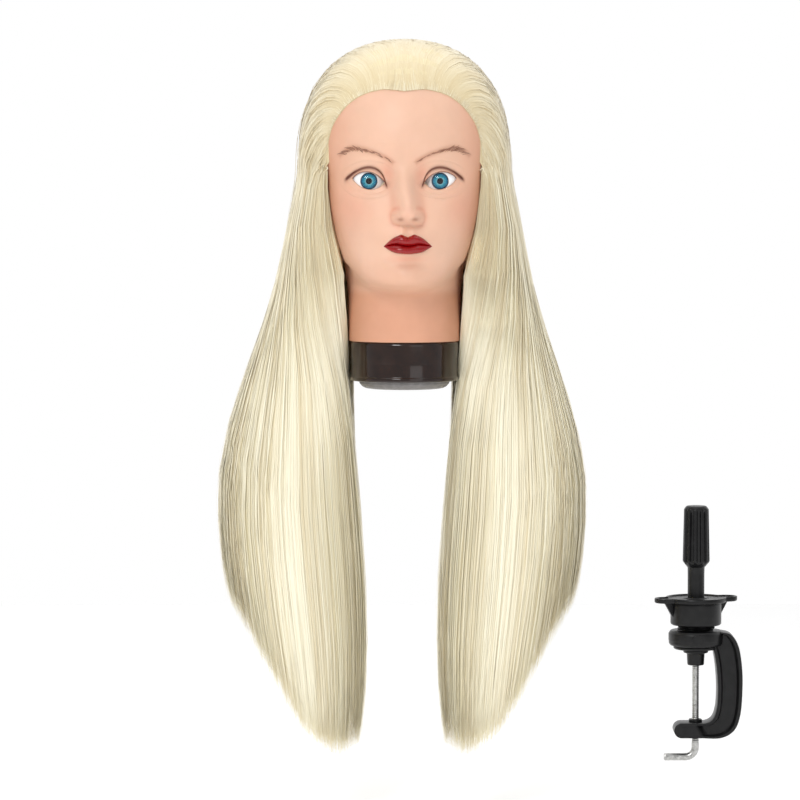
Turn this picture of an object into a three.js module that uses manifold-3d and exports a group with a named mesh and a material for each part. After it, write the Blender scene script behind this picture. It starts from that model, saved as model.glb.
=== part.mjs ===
// A salon training head with long straight hair, and the table clamp that goes with it.
// Millimetres, +Z up. The face looks along -Y. The origin is the middle of the neck socket's mouth,
// on the plane of the base plate's underside. The clamp stands loose beside the head, at +X.
import * as THREE from "three";
import { ParametricGeometry } from "three/addons/geometries/ParametricGeometry.js";
import { mergeVertices } from "three/addons/utils/BufferGeometryUtils.js";
import Module from "manifold-3d";

const wasm = await Module();
wasm.setup();

// ---------------------------------------------------------------- driving dimensions
const GAP = 0.3; // between pieces that touch
const HEAD_TOP = 269; // top of the scalp
const EQUATOR_Z = 195; // height where the skull's dome ends
const DOME_POWER = 2.3; // 2 would be an ellipse
const COLLAR_BOTTOM = 6.4;
const COLLAR_TOP = 38;
const NECK_R = 44.3;
const SKIN_WALL = 4;
const EYE = { x: 27.7, y: -58.5, z: 165.4, r: 16, irisR: 6.7, openHalfWidth: 12.6, openHalfHeight: 8.2 };
const EYE_CAVITY_R = 17.7; // clears the cornea as well as the ball
const BASE_PLATE_R = 36;
const BASE_FLAT_R = 28;
const SOCKET = { ribR: 10.9, grooveR: 11.8, ribs: 12, depth: 62, tubeR: 15 };
const HAIR_TIP_Z = -291;
const HAIR_JOIN_Z = 168; // where the crown hair hands over to the side locks
const CLAMP_X = 234;
const CLAMP_FLOOR_Z = -300; // lowest point of the clamp's handle
const ROUND = 26; // sides of a turned piece

// Skull and neck as meridians: each row has a height and a radius at seven azimuths from the front.
const AZIMUTHS = [0, 20, 40, 65, 90, 135, 180];
const ROWS = [
  { z: [195, 195, 195, 195, 195, 195, 195], r: [87, 85.5, 81, 73.5, 70, 82, 90] },
  { z: [172, 172, 172, 172, 172, 172, 172], r: [83, 82.5, 79.5, 71.5, 69, 82, 90] },
  { z: [148, 148, 148, 148, 148, 148, 148], r: [84, 82.5, 78.5, 68.5, 66, 77, 84] },
  { z: [126, 126, 125, 124, 124, 124, 124], r: [86.5, 83, 75, 61.5, 58.5, 66, 71] },
  { z: [106.5, 106.5, 105.5, 104, 104, 104, 104], r: [85.5, 80.5, 68.5, 53.5, 51, 56, 59] },
  { z: [88.5, 90.5, 94, 98.5, 99, 99, 99], r: [85, 76.5, 60.5, 49, 48.2, 52, 54.5] },
  { z: [81.5, 82.8, 86, 89, 89, 89, 89], r: [76, 67, 54, 46.8, 46.6, 49.6, 51.5] },
  { z: [76, 76.4, 78, 79, 79, 79, 79], r: [55, 50.5, 47, 45.2, 45.3, 47.4, 48.8] },
  { z: [60, 60, 60, 60, 60, 60, 60], r: [46, 45.6, 45, 44.8, 44.8, 45.6, 46] },
  { z: Array(7).fill(COLLAR_TOP + GAP), r: Array(7).fill(NECK_R) },
];

// Hair: half the outside width, and the inner edge, of the hair at each height.
const HAIR_HEIGHTS = [168, 117, 60, 21, 0, -30, -74, -130, -160, -209, -247, -270, HAIR_TIP_Z];
const HAIR_OUTER = [88, 97.5, 111, 125, 133.5, 143, 149, 146, 138, 117, 95, 74, 58];
const HAIR_INNER = [63, 56, 48.5, 43, 39, 37, 33.5, 29.5, 28, 27, 29, 34, 48];
const HAIR_DEPTH = [40, 40, 40, 39, 38, 37, 36, 34, 32, 27, 22, 16, 9];
const HAIR_SPLIT_Z = 95; // the back hair parts at the nape below this

// ---------------------------------------------------------------- materials
const paint = (color, roughness, metalness = 0, opacity = 1) =>
  new THREE.MeshStandardMaterial({ color, roughness, metalness, opacity, transparent: opacity < 1 });
const MATERIALS = {
  vinyl: paint(0xf0c8b0, 0.5),
  foam: paint(0xe8dcc0, 0.9),
  eyeWhite: paint(0xf7f7f5, 0.2),
  iris: paint(0x2f9fc4, 0.3),
  cornea: paint(0xffffff, 0.05, 0, 0.3),
  collar: paint(0x38251e, 0.2),
  greyPlastic: paint(0x7e7b7b, 0.5),
  hair: paint(0xdcd2b0, 0.4),
  blackPlastic: paint(0x2c2c2c, 0.45),
  steel: paint(0xb4b4b4, 0.3, 1),
};

// ---------------------------------------------------------------- solids and meshes
// A closed geometry as a manifold-3d solid, turned the right way out.
function solid(geometry) {
  const bare = geometry.index ? geometry.toNonIndexed() : geometry.clone();
  bare.deleteAttribute("normal");
  bare.deleteAttribute("uv");
  const merged = mergeVertices(bare, 1e-3);
  const source = merged.index.array;
  const corners = [];
  for (let i = 0; i < source.length; i += 3) {
    const [a, b, c] = [source[i], source[i + 1], source[i + 2]];
    if (a !== b && b !== c && a !== c) corners.push(a, b, c);
  }
  const build = (triVerts) =>
    new wasm.Manifold(
      new wasm.Mesh({
        numProp: 3,
        vertProperties: new Float32Array(merged.attributes.position.array),
        triVerts: new Uint32Array(triVerts),
      }),
    );
  const made = build(corners);
  if (made.volume() > 0) return made;
  for (let i = 0; i < corners.length; i += 3) [corners[i + 1], corners[i + 2]] = [corners[i + 2], corners[i + 1]];
  return build(corners);
}

const joined = (first, ...rest) => rest.reduce((whole, piece) => whole.add(piece), first);
const cut = (first, ...rest) => rest.reduce((whole, piece) => whole.subtract(piece), first);

// The largest separate body of a solid, which drops slivers that a cut leaves behind.
function largest(whole) {
  return whole.decompose().sort((a, b) => b.volume() - a.volume())[0];
}

function mesh(name, whole, material) {
  const data = whole.getMesh();
  const position = new Float32Array(data.numVert * 3);
  for (let i = 0; i < data.numVert; i++) {
    position.set(data.vertProperties.subarray(i * data.numProp, i * data.numProp + 3), i * 3);
  }
  const geometry = new THREE.BufferGeometry();
  geometry.setAttribute("position", new THREE.BufferAttribute(position, 3));
  geometry.setIndex(new THREE.BufferAttribute(new Uint32Array(data.triVerts), 1));
  geometry.computeVertexNormals();
  const made = new THREE.Mesh(geometry, MATERIALS[material]);
  made.name = name;
  return made;
}

// A piece turned about Z from [radius, height] points that start and end on the axis.
function turned(points, sides = ROUND) {
  const profile = points.map(([r, z]) => new THREE.Vector2(r, z));
  return new THREE.LatheGeometry(profile, sides).rotateX(Math.PI / 2);
}

// A ring turned about Z: its section is a closed loop off the axis.
function ring(points, sides = ROUND) {
  return turned([...points, points[0]], sides);
}

function cylinder(radius, low, high, sides = ROUND) {
  return new THREE.CylinderGeometry(radius, radius, high - low, sides)
    .rotateX(Math.PI / 2)
    .translate(0, 0, (low + high) / 2);
}

function box(low, high) {
  const size = high.map((h, i) => h - low[i]);
  const middle = high.map((h, i) => (h + low[i]) / 2);
  return new THREE.BoxGeometry(...size).translate(...middle);
}

// A flat outline in X and Z, made thick along Y and centred on the XZ plane.
function plateAlongY(shape, thickness, steps = 8) {
  return new THREE.ExtrudeGeometry(shape, { depth: thickness, bevelEnabled: false, curveSegments: steps })
    .translate(0, 0, -thickness / 2)
    .rotateX(Math.PI / 2);
}

// ---------------------------------------------------------------- smooth interpolation
const clamp01 = (t) => Math.min(1, Math.max(0, t));
const smooth = (t) => clamp01(t) ** 2 * (3 - 2 * clamp01(t));
const mix = (a, b, t) => a + (b - a) * t;

// A smooth curve through (xs, ys), with finite-difference slopes.
function through(xs, ys, x, flatEnds = false) {
  const rising = xs[1] > xs[0];
  const last = xs.length - 1;
  let i = 0;
  while (i < last - 1 && (rising ? x > xs[i + 1] : x < xs[i + 1])) i++;
  const slope = (k) => {
    if (k === 0 || k === last) {
      if (flatEnds) return 0;
      const n = k === 0 ? 1 : last - 1;
      return (ys[n] - ys[k]) / (xs[n] - xs[k]);
    }
    return (ys[k + 1] - ys[k - 1]) / (xs[k + 1] - xs[k - 1]);
  };
  const width = xs[i + 1] - xs[i];
  const t = clamp01((x - xs[i]) / width);
  const [a, b] = [slope(i) * width, slope(i + 1) * width];
  return (
    ys[i] * (1 + 2 * t) * (1 - t) ** 2 + a * t * (1 - t) ** 2 + ys[i + 1] * t * t * (3 - 2 * t) + b * t * t * (t - 1)
  );
}

// ---------------------------------------------------------------- the head's surface
const bump = (x, z, x0, z0, sx, sz) => Math.exp(-(((x - x0) / sx) ** 2) - ((z - z0) / sz) ** 2);

// The nose, mouth and chin stand a little to the left of the middle.
const faceLean = (z) => 2.6 * smooth((164 - z) / 20);

// How far the face stands out along -Y from the plain meridians, at (x, z).
function faceRelief(x0, z) {
  const x = x0 - faceLean(z);
  const side = Math.abs(x);
  const bridge = clamp01((179 - z) / 38) ** 1.25;
  const underTip = Math.sqrt(Math.max(0, 1 - (clamp01((141 - z) / 9.8)) ** 2));
  const noseWidth = mix(6, 9, bridge);
  let relief = 20 * bridge * underTip * Math.exp(-((x / noseWidth) ** 2));
  relief += 6 * bump(side, z, 8.4, 137.5, 4, 5);
  relief -= 3 * bump(Math.abs(x0), z, EYE.x, 166, 16, 10.5);
  relief += 1.7 * bump(side, z, 25, 184, 20, 7);
  relief += 2.6 * bump(x, z, 0, 117, 24, 14);
  relief += 3.5 * bump(x, z, 0, 119.5, 13, 3.6) + 4 * bump(x, z, 0, 111.5, 11, 4);
  relief -= 2.8 * bump(x, z, 0, 103, 14, 4.2);
  relief += 3.4 * bump(x, z, 0, 93.5, 13, 8.5);
  relief += 2.2 * bump(side, z, 35, 146, 16, 17);
  return relief;
}

// A point of the head: azimuth from the front in degrees, and v from the top (0) to the neck's end (1).
// offset moves the whole surface outwards. A plain head keeps the face's dips and leaves out what stands out.
function headPoint(azimuth, v, offset = 0, plain = false) {
  const turn = Math.abs(azimuth > 180 ? 360 - azimuth : azimuth);
  const domeShare = 0.27;
  let [r, z] = [0, 0];
  if (v < domeShare) {
    const angle = ((1 - v / domeShare) * Math.PI) / 2;
    const t = Math.sin(angle);
    z = EQUATOR_Z + (HEAD_TOP - EQUATOR_Z) * t + offset * t;
    const equator = through(AZIMUTHS, ROWS[0].r, turn, true) + offset;
    r = equator * Math.max(0, 1 - t ** DOME_POWER) ** (1 / DOME_POWER);
  } else {
    const along = ((v - domeShare) / (1 - domeShare)) * (ROWS.length - 1);
    const steps = ROWS.map((_, i) => i);
    z = through(steps, ROWS.map((row) => through(AZIMUTHS, row.z, turn, true)), along);
    r = through(steps, ROWS.map((row) => through(AZIMUTHS, row.r, turn, true)), along) + offset;
  }
  const a = THREE.MathUtils.degToRad(azimuth);
  const x = r * Math.sin(a);
  const facing = smooth((Math.cos(a) - 0.1) / 0.4);
  const relief = plain ? Math.min(0, faceRelief(x, z)) : faceRelief(x, z);
  return new THREE.Vector3(x, -r * Math.cos(a) - facing * relief, z);
}

// The head's radius at an azimuth and height, without the face's relief.
function headRadius(azimuth, height) {
  let [low, high] = [0, 1];
  for (let i = 0; i < 22; i++) {
    const middle = (low + high) / 2;
    const p = headPoint(azimuth, middle);
    if (p.z > height) low = middle;
    else high = middle;
  }
  const p = headPoint(azimuth, low);
  return Math.hypot(p.x, p.y);
}

// A closed surface from rows of points: grid(u, v), with v = 0 and v = 1 closed by flat ends.
function closedSurface(grid, around, along) {
  const middle = (v) => {
    const centre = new THREE.Vector3();
    for (let i = 0; i < around; i++) centre.add(grid(i / around, v));
    return centre.divideScalar(around);
  };
  const ends = [middle(0), middle(1)];
  const surface = (u, v, target) => {
    const row = Math.round(v * (along + 2));
    if (row === 0) target.copy(ends[0]);
    else if (row === along + 2) target.copy(ends[1]);
    else target.copy(grid(u % 1, (row - 1) / along));
  };
  return new ParametricGeometry(surface, around, along + 2);
}

// The columns of the head's mesh are packed towards the face, which has the finest shape.
function headSolid(offset, around, along, packing = 0.6, plain = false) {
  const azimuth = (u) => 360 * u - THREE.MathUtils.radToDeg(packing * Math.sin(2 * Math.PI * u));
  return solid(closedSurface((u, v) => headPoint(azimuth(u), v, offset, plain), around, along));
}

// The ears, flattened and set back against the sides of the skull, grown by an offset.
function ears(grow) {
  return [-1, 1].map((side) => {
    const ear = new THREE.SphereGeometry(1, 12, 8);
    ear.scale(6 + grow, 15 + grow, 27 + grow).rotateZ(side * 0.25);
    return solid(ear.translate(side * 69, 10, 158));
  });
}

function eyeOpening(side) {
  const outline = new THREE.Shape();
  const { openHalfWidth: w, openHalfHeight: h } = EYE;
  outline.moveTo(-w, -0.5);
  outline.bezierCurveTo(-w * 0.5, h * 1.2, w * 0.5, h * 1.3, w, 0);
  outline.bezierCurveTo(w * 0.5, -h * 1.15, -w * 0.4, -h * 1.2, -w, -0.5);
  const prism = plateAlongY(outline, 30, 4);
  return solid(prism.translate(side * EYE.x, EYE.y - 18, EYE.z));
}

function eyeCavity(side) {
  return solid(new THREE.SphereGeometry(EYE_CAVITY_R, 14, 8).translate(side * EYE.x, EYE.y, EYE.z));
}

function socketHole(extra = 0) {
  return solid(cylinder(SOCKET.tubeR + extra, -5, SOCKET.depth + 8));
}

// ---------------------------------------------------------------- head pieces
function makeSkin() {
  const outside = joined(headSolid(0, 36, 32), ...ears(0));
  const inside = headSolid(-SKIN_WALL, 16, 13, 0);
  const neckMouth = solid(cylinder(NECK_R - SKIN_WALL, 20, 70));
  let skin = cut(outside, inside, neckMouth);
  for (const side of [-1, 1]) skin = cut(skin, eyeCavity(side), eyeOpening(side));
  return largest(skin);
}

function makeCore() {
  const filling = headSolid(-SKIN_WALL - 1.2, 16, 13, 0, true);
  const belowTongue = solid(cylinder(80, 20, 58));
  let core = cut(filling, socketHole(GAP), belowTongue);
  for (const side of [-1, 1]) core = cut(core, eyeCavity(side), eyeOpening(side));
  return largest(core);
}

const irisFace = 14.2; // distance from the eye's middle to the flat that the iris sits on

function makeEyeball() {
  const ball = solid(new THREE.SphereGeometry(EYE.r, 16, 10));
  return cut(ball, solid(box([-20, -40, -20], [20, -irisFace, 20])));
}

function makeIris() {
  return solid(cylinder(EYE.irisR, 0, 0.8, 20).rotateX(Math.PI / 2).translate(0, -irisFace - GAP, 0));
}

function makeCornea() {
  const base = irisFace + GAP + 0.8 + GAP;
  const bulge = [[0, base], [EYE.irisR, base], [5.4, base + 0.7], [3, base + 1.2], [0, base + 1.4]];
  return solid(turned(bulge, 20).rotateX(Math.PI / 2));
}

function makeCollar() {
  const tongueR = NECK_R - SKIN_WALL - GAP;
  return solid(
    ring([
      [BASE_PLATE_R + 1.2, COLLAR_BOTTOM],
      [42.4, COLLAR_BOTTOM],
      [43.2, COLLAR_BOTTOM + 1],
      [43.2, COLLAR_BOTTOM + 3.2],
      [42.7, COLLAR_BOTTOM + 4],
      [NECK_R - 0.2, COLLAR_TOP],
      [tongueR, COLLAR_TOP],
      [tongueR, COLLAR_TOP + 14],
      [tongueR - 3, COLLAR_TOP + 14],
      [tongueR - 3, COLLAR_TOP - 2],
      [BASE_PLATE_R + 2.4, COLLAR_BOTTOM + 4],
      [BASE_PLATE_R + 1.2, COLLAR_BOTTOM + 3],
    ], 24),
  );
}

const SCREW_CIRCLE_R = 31;
const SCREW_ANGLES = [90, 210, 330];

function makeBasePlate() {
  const plate = solid(
    ring([
      [SOCKET.tubeR + GAP, 0],
      [BASE_FLAT_R, 0],
      [BASE_PLATE_R - 2, 1.8],
      [BASE_PLATE_R, 4.4],
      [BASE_PLATE_R, 9],
      [SOCKET.tubeR + GAP, 9],
    ], 24),
  );
  return cut(plate, ...SCREW_ANGLES.map((angle) => placedScrewHole(angle)));
}

function screwSpot(angle) {
  const a = THREE.MathUtils.degToRad(angle);
  return [SCREW_CIRCLE_R * Math.cos(a), SCREW_CIRCLE_R * Math.sin(a), 0];
}

function placedScrewHole(angle) {
  const hole = joined(solid(cylinder(2.3, -1, 20, 16)), solid(cylinder(4, -2, 4, 16)));
  return hole.translate(screwSpot(angle));
}

function makeBaseScrew() {
  return joined(solid(cylinder(3.6, 1.8, 3.9, 16)), solid(cylinder(1.9, 3, 17, 16)));
}

// Three bosses inside the collar that the base screws bite into, on one thin web.
function makeScrewCarrier() {
  const web = solid(ring([[SOCKET.tubeR + GAP, 10], [36, 10], [36, 13], [SOCKET.tubeR + GAP, 13]]));
  const bosses = SCREW_ANGLES.map((angle) => solid(cylinder(4.4, 10, 20, 20)).translate(screwSpot(angle)));
  const holes = SCREW_ANGLES.map((angle) => solid(cylinder(2.2, 5, 30, 16)).translate(screwSpot(angle)));
  return cut(joined(web, ...bosses), ...holes);
}

// A ribbed outline: ribs stand out to one radius between grooves of the other.
function ribbedOutline(ribR, grooveR, ribs) {
  const outline = new THREE.Shape();
  const steps = ribs * 4;
  for (let i = 0; i < steps; i++) {
    const r = i % 4 < 2 ? ribR : grooveR;
    const a = ((i + 0.5) / steps) * Math.PI * 2;
    if (i === 0) outline.moveTo(r * Math.cos(a), r * Math.sin(a));
    else outline.lineTo(r * Math.cos(a), r * Math.sin(a));
  }
  outline.closePath();
  return outline;
}

function ribbedBar(ribR, grooveR, ribs, low, high) {
  const bar = new THREE.ExtrudeGeometry(ribbedOutline(ribR, grooveR, ribs), {
    depth: high - low,
    bevelEnabled: false,
  });
  return bar.translate(0, 0, low);
}

function makeSocketTube() {
  const tube = solid(cylinder(SOCKET.tubeR, 0, SOCKET.depth));
  const bore = solid(ribbedBar(SOCKET.ribR, SOCKET.grooveR, SOCKET.ribs, -2, SOCKET.depth - 3));
  return cut(tube, bore);
}

// ---------------------------------------------------------------- hair
// A point of the right-hand hair. p runs from the front edge (0) to the back (1), q from the inside
// (0) to the outside (1). High up the hair wraps the head in polar form; low down it hangs as an
// oval lock. The two forms fade into each other between the ear and the collar.
function hairPoint(p, q, height) {
  const outer = through(HAIR_HEIGHTS, HAIR_OUTER, height);
  const inner = through(HAIR_HEIGHTS, HAIR_INNER, height);
  const depth = through(HAIR_HEIGHTS, HAIR_DEPTH, height);

  const backEdge = mix(150, 179.5, smooth((height - 40) / (HAIR_SPLIT_Z - 40)));
  const frontEdge = mix(54, 63, smooth((height - 40) / 120));
  const azimuth = mix(frontEdge, backEdge, p);
  const wrapHeight = Math.max(height, COLLAR_TOP + 4);
  const scalp = headRadius(azimuth, wrapHeight) + 1;
  const sideways = outer - headRadius(90, wrapHeight) - 1;
  const split = 1 - smooth((height - 40) / (HAIR_SPLIT_Z - 40));
  const edges = Math.sqrt(clamp01(p / 0.25) * (2 - clamp01(p / 0.25)));
  const backTaper = mix(1, Math.sqrt(clamp01((1 - p) / 0.3)), split);
  const thick = mix(sideways, 17, smooth((p - 0.35) / 0.5)) * Math.max(0.14, edges) * Math.max(0.2, backTaper);
  const r = scalp + thick * q;
  const a = THREE.MathUtils.degToRad(azimuth);
  const wrap = [r * Math.sin(a), -r * Math.cos(a)];

  const [s, t] = [2 * p - 1, 2 * q - 1];
  const middleX = (outer + inner) / 2;
  const middleY = mix(0, 12, smooth((height + 80) / 140));
  const hang = [
    middleX + ((outer - inner) / 2) * t * Math.sqrt(1 - (s * s) / 2),
    middleY + depth * s * Math.sqrt(1 - (t * t) / 2),
  ];
  const hanging = 1 - smooth((height + 20) / 140);
  return [mix(wrap[0], hang[0], hanging), mix(wrap[1], hang[1], hanging)];
}

// One lock between two p values, as a closed loft from the ear's height down to the tips.
function makeLock(side, pFrom, pTo) {
  const edge = (u) => {
    const step = u * 8;
    if (step < 3) return [mix(pFrom, pTo, step / 3), 0];
    if (step < 4) return [pTo, step - 3];
    if (step < 7) return [mix(pTo, pFrom, (step - 4) / 3), 1];
    return [pFrom, 8 - step];
  };
  const grid = (u, v) => {
    const height = mix(HAIR_JOIN_Z - GAP, HAIR_TIP_Z, v);
    const [p, q] = edge(u);
    const [x, y] = hairPoint(p, q, height);
    return new THREE.Vector3(side * x, y, height);
  };
  return solid(closedSurface(grid, 16, 13));
}

// The combed-back hair on top: a shell over the scalp, behind the hairline.
function makeCrown(headClear) {
  const thickness = 8.5;
  const shell = closedSurface(
    (u, v) => {
      const azimuth = u * 360;
      const p = headPoint(azimuth, v * 0.392, 0);
      const level = clamp01((HEAD_TOP - p.z) / (HEAD_TOP - HAIR_JOIN_Z));
      const around = Math.abs(azimuth > 180 ? 360 - azimuth : azimuth);
      const low = through([0, 63, 90, 135, 180], [7, 9, 18.5, 16, 16.5], around, true);
      const thick = mix(thickness, low, level);
      const a = THREE.MathUtils.degToRad(azimuth);
      const r = Math.hypot(p.x, p.y) + thick * Math.sqrt(clamp01(level * 2.2));
      return new THREE.Vector3(r * Math.sin(a), -r * Math.cos(a), p.z + thickness * (1 - level));
    },
    28,
    9,
  );
  const hairlineTop = [-76, 238];
  const hairlineEar = [-24, 150];
  const slope = (hairlineEar[0] - hairlineTop[0]) / (hairlineEar[1] - hairlineTop[1]);
  const front = new THREE.Shape();
  front.moveTo(-200, 320);
  front.lineTo(hairlineTop[0] + slope * (320 - hairlineTop[1]), 320);
  front.lineTo(hairlineTop[0] + slope * (100 - hairlineTop[1]), 100);
  front.lineTo(-200, 100);
  front.closePath();
  const face = new THREE.ExtrudeGeometry(front, { depth: 300, bevelEnabled: false });
  face.translate(0, 0, -150).rotateY(Math.PI / 2).rotateX(Math.PI / 2);
  const below = box([-200, -200, 0], [200, 200, HAIR_JOIN_Z + GAP]);
  return largest(cut(solid(shell), headClear, solid(face), solid(below)));
}

// ---------------------------------------------------------------- clamp pieces
// Heights are above the lowest point of the handle; X and Y are from the screw's axis.
const CLAMP = {
  jawLow: 19.2,
  jawHigh: 31.5,
  ringLow: 93.3,
  ringHigh: 105.6,
  ringR: 21.9,
  cupLow: 110,
  discLow: 128.4,
  discHigh: 132.4,
  postTop: 205.6,
  footLow: 77.3,
  footHigh: 90,
  width: 20,
};
const SCREW_R = 3;
const STEM_R = 6.7;

function frameOutline() {
  const s = new THREE.Shape();
  s.moveTo(8, CLAMP.ringHigh - 0.6);
  s.lineTo(19, CLAMP.ringHigh - 0.6);
  s.bezierCurveTo(30, 105, 35, 97, 36.3, 82);
  s.bezierCurveTo(37.4, 66, 37.4, 50, 35.5, 36);
  s.bezierCurveTo(33.5, 25, 29, CLAMP.jawLow, 20, CLAMP.jawLow);
  s.lineTo(-11.5, CLAMP.jawLow);
  s.absarc(-11.5, (CLAMP.jawLow + CLAMP.jawHigh) / 2, (CLAMP.jawHigh - CLAMP.jawLow) / 2, -Math.PI / 2, Math.PI / 2, true);
  s.lineTo(8, CLAMP.jawHigh);
  s.bezierCurveTo(13, CLAMP.jawHigh, 15.5, 36, 16.5, 44);
  s.bezierCurveTo(17.4, 56, 17.2, 74, 14.5, 88);
  s.lineTo(13, CLAMP.ringLow + 0.3);
  s.lineTo(8, CLAMP.ringLow + 0.3);
  s.closePath();
  return s;
}

// The channel sunk in each flank of the spine, which leaves an I-shaped section.
function flankChannel() {
  const s = new THREE.Shape();
  s.moveTo(20.5, 99);
  s.bezierCurveTo(28, 98, 31, 92, 32, 81);
  s.bezierCurveTo(33, 66, 33, 50, 31.2, 38);
  s.bezierCurveTo(30, 31, 27, 26, 22, 24.5);
  s.bezierCurveTo(20, 30, 20.6, 36, 21, 44);
  s.bezierCurveTo(21.8, 56, 21.6, 74, 19.5, 88);
  s.closePath();
  return s;
}

function makeFrame() {
  const bar = solid(plateAlongY(frameOutline(), CLAMP.width));
  const channelDepth = 5.5;
  const channel = plateAlongY(flankChannel(), channelDepth);
  const offset = CLAMP.width / 2;
  const channels = [-offset, offset].map((y) => solid(channel.clone().translate(0, y, 0)));
  const collar = solid(
    turned([
      [0, CLAMP.ringLow],
      [CLAMP.ringR - 1.6, CLAMP.ringLow],
      [CLAMP.ringR, CLAMP.ringLow + 1.6],
      [CLAMP.ringR, CLAMP.ringHigh - 2],
      [CLAMP.ringR - 2, CLAMP.ringHigh],
      [0, CLAMP.ringHigh],
    ], 24),
  );
  const postBore = solid(cylinder(STEM_R + GAP, 80, 120, 28));
  const clipPocket = solid(cylinder(11, CLAMP.ringLow - 2, 98, 28));
  const colletSeat = solid(cylinder(11, 100.5, 112, 28));
  const jawBore = solid(cylinder(SCREW_R + 0.5, 10, 40, 20));
  const nutPocket = solid(cylinder(5.9, 27, CLAMP.jawHigh + 5, 6));
  const plugHole = solid(cylinder(4.5, 0, 5, 20).rotateX(Math.PI / 2).translate(0, -CLAMP.ringR + 4, 99.4));
  const rivets = rivetSpots().map((spot) => solid(cylinder(1.9, 90, 99, 12)).translate(spot));
  const body = cut(joined(cut(bar, ...channels), collar), postBore, clipPocket, colletSeat);
  return largest(cut(body, jawBore, nutPocket, plugHole, ...rivets));
}

function rivetSpots() {
  return [[0, 15, 0], [0, -15, 0]];
}

function makeJawPad() {
  const low = CLAMP.ringLow - GAP - 2.7;
  const pad = solid(
    turned([[0, low], [17, low], [18, low + 1], [18, CLAMP.ringLow - GAP], [0, CLAMP.ringLow - GAP]]),
  );
  const holes = rivetSpots().map((spot) => solid(cylinder(1.9, 85, 99, 12)).translate(spot));
  const besideSpine = solid(box([12.3, -30, 80], [30, 30, 100]));
  return cut(pad, besideSpine, ...holes);
}

function makeRivet() {
  return solid(cylinder(1.6, CLAMP.ringLow - 2.2, 97.5, 12));
}

function makeCollet() {
  const threadPitch = 3.1;
  const section = [[STEM_R + GAP, 100.8], [10.7, 100.8], [10.7, CLAMP.ringHigh + GAP], [14.2, CLAMP.ringHigh + GAP]];
  for (let z = 107.4; z < 120; z += threadPitch) section.push([14.2, z], [15.4, z + 0.8], [15.4, z + 1.4], [14.2, z + 2.2]);
  section.push([12.5, 125], [STEM_R + GAP, 125]);
  const sleeve = solid(ring(section, 18));
  const slits = [0, 90].map((angle) =>
    solid(box([-20, -0.8, 112], [20, 0.8, 130]).rotateZ(THREE.MathUtils.degToRad(angle + 45))),
  );
  return cut(sleeve, ...slits);
}

function makeWingNut() {
  const cupR = 20.4;
  const cup = solid(
    turned([
      [0, CLAMP.cupLow],
      [cupR, CLAMP.cupLow],
      [cupR - 0.3, CLAMP.discLow],
      [23.2, CLAMP.discLow],
      [23.8, CLAMP.discLow + 1.2],
      [23.8, CLAMP.discHigh - 1.2],
      [22.8, CLAMP.discHigh],
      [0, CLAMP.discHigh],
    ], 24),
  );
  const wing = new THREE.Shape();
  const [reach, halfWidth] = [26.5, 8.5];
  wing.absarc(reach, 0, halfWidth, -Math.PI / 2, Math.PI / 2, false);
  wing.absarc(-reach, 0, halfWidth, Math.PI / 2, (3 * Math.PI) / 2, false);
  const wings = new THREE.ExtrudeGeometry(wing, { depth: 3, bevelEnabled: false, curveSegments: 12 });
  wings.translate(0, 0, CLAMP.discLow + 0.4);
  const gusset = new THREE.Shape();
  gusset.moveTo(cupR - 1, 116);
  gusset.lineTo(24.4, CLAMP.discLow + 1);
  gusset.lineTo(cupR - 1, CLAMP.discLow + 1);
  gusset.closePath();
  const rib = plateAlongY(gusset, 2.6);
  const ribs = [0, Math.PI].map((turn) => solid(rib.clone().rotateZ(turn)));
  const cavity = solid(cylinder(15.9, CLAMP.cupLow - 2, 125.6, 32));
  const stemHole = solid(cylinder(STEM_R + 2, 100, 140, 28));
  return cut(joined(cup, solid(wings), ...ribs), cavity, stemHole).rotate([0, 0, 18]);
}

function makePost() {
  const [splineLow, chamfer] = [159, 2.8];
  const splines = new THREE.ExtrudeGeometry(ribbedOutline(10.8, 9.2, 12), {
    depth: CLAMP.postTop - splineLow,
    bevelEnabled: false,
  });
  const position = splines.attributes.position;
  for (let i = 0; i < position.count; i++) {
    const taper = mix(1, 0.91, position.getZ(i) / (CLAMP.postTop - splineLow));
    position.setXY(i, position.getX(i) * taper, position.getY(i) * taper);
  }
  splines.translate(0, 0, splineLow);
  const envelope = solid(
    turned([
      [0, 94.6],
      [STEM_R, 94.6],
      [STEM_R, splineLow - chamfer],
      [11.2, splineLow + 1.5],
      [11.2, CLAMP.postTop - 4],
      [7.4, CLAMP.postTop],
      [0, CLAMP.postTop],
    ], 20),
  );
  const stem = solid(cylinder(STEM_R, 94.6, splineLow + 1, 20));
  const cone = solid(turned([[0, splineLow - chamfer], [STEM_R, splineLow - chamfer], [9.4, splineLow + 0.5], [0, splineLow + 0.5]], 20));
  const groove = solid(ring([[5.4, 95.6], [9, 95.6], [9, 96.9], [5.4, 96.9]], 28));
  return cut(joined(stem, cone, solid(splines)).intersect(envelope), groove);
}

function makeClip() {
  const clip = solid(ring([[5.7, 95.8], [9.6, 95.8], [9.6, 96.7], [5.7, 96.7]], 24));
  return cut(clip, solid(box([-2.4, 0, 90], [2.4, 12, 100])));
}

function makePlug() {
  return solid(cylinder(4.2, 0, 4, 20).rotateX(Math.PI / 2).translate(0, -CLAMP.ringR + 3.4, 99.4));
}

function makeFoot() {
  const foot = solid(
    turned([
      [0, CLAMP.footLow],
      [6.5, CLAMP.footLow],
      [6.8, CLAMP.footLow + 0.6],
      [7.3, 87.3],
      [9.4, 87.3],
      [10, 88],
      [10, CLAMP.footHigh - GAP],
      [0, CLAMP.footHigh - GAP],
    ], 24),
  );
  return cut(foot, solid(cylinder(SCREW_R + GAP, 70, 85.2, 20)));
}

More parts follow.
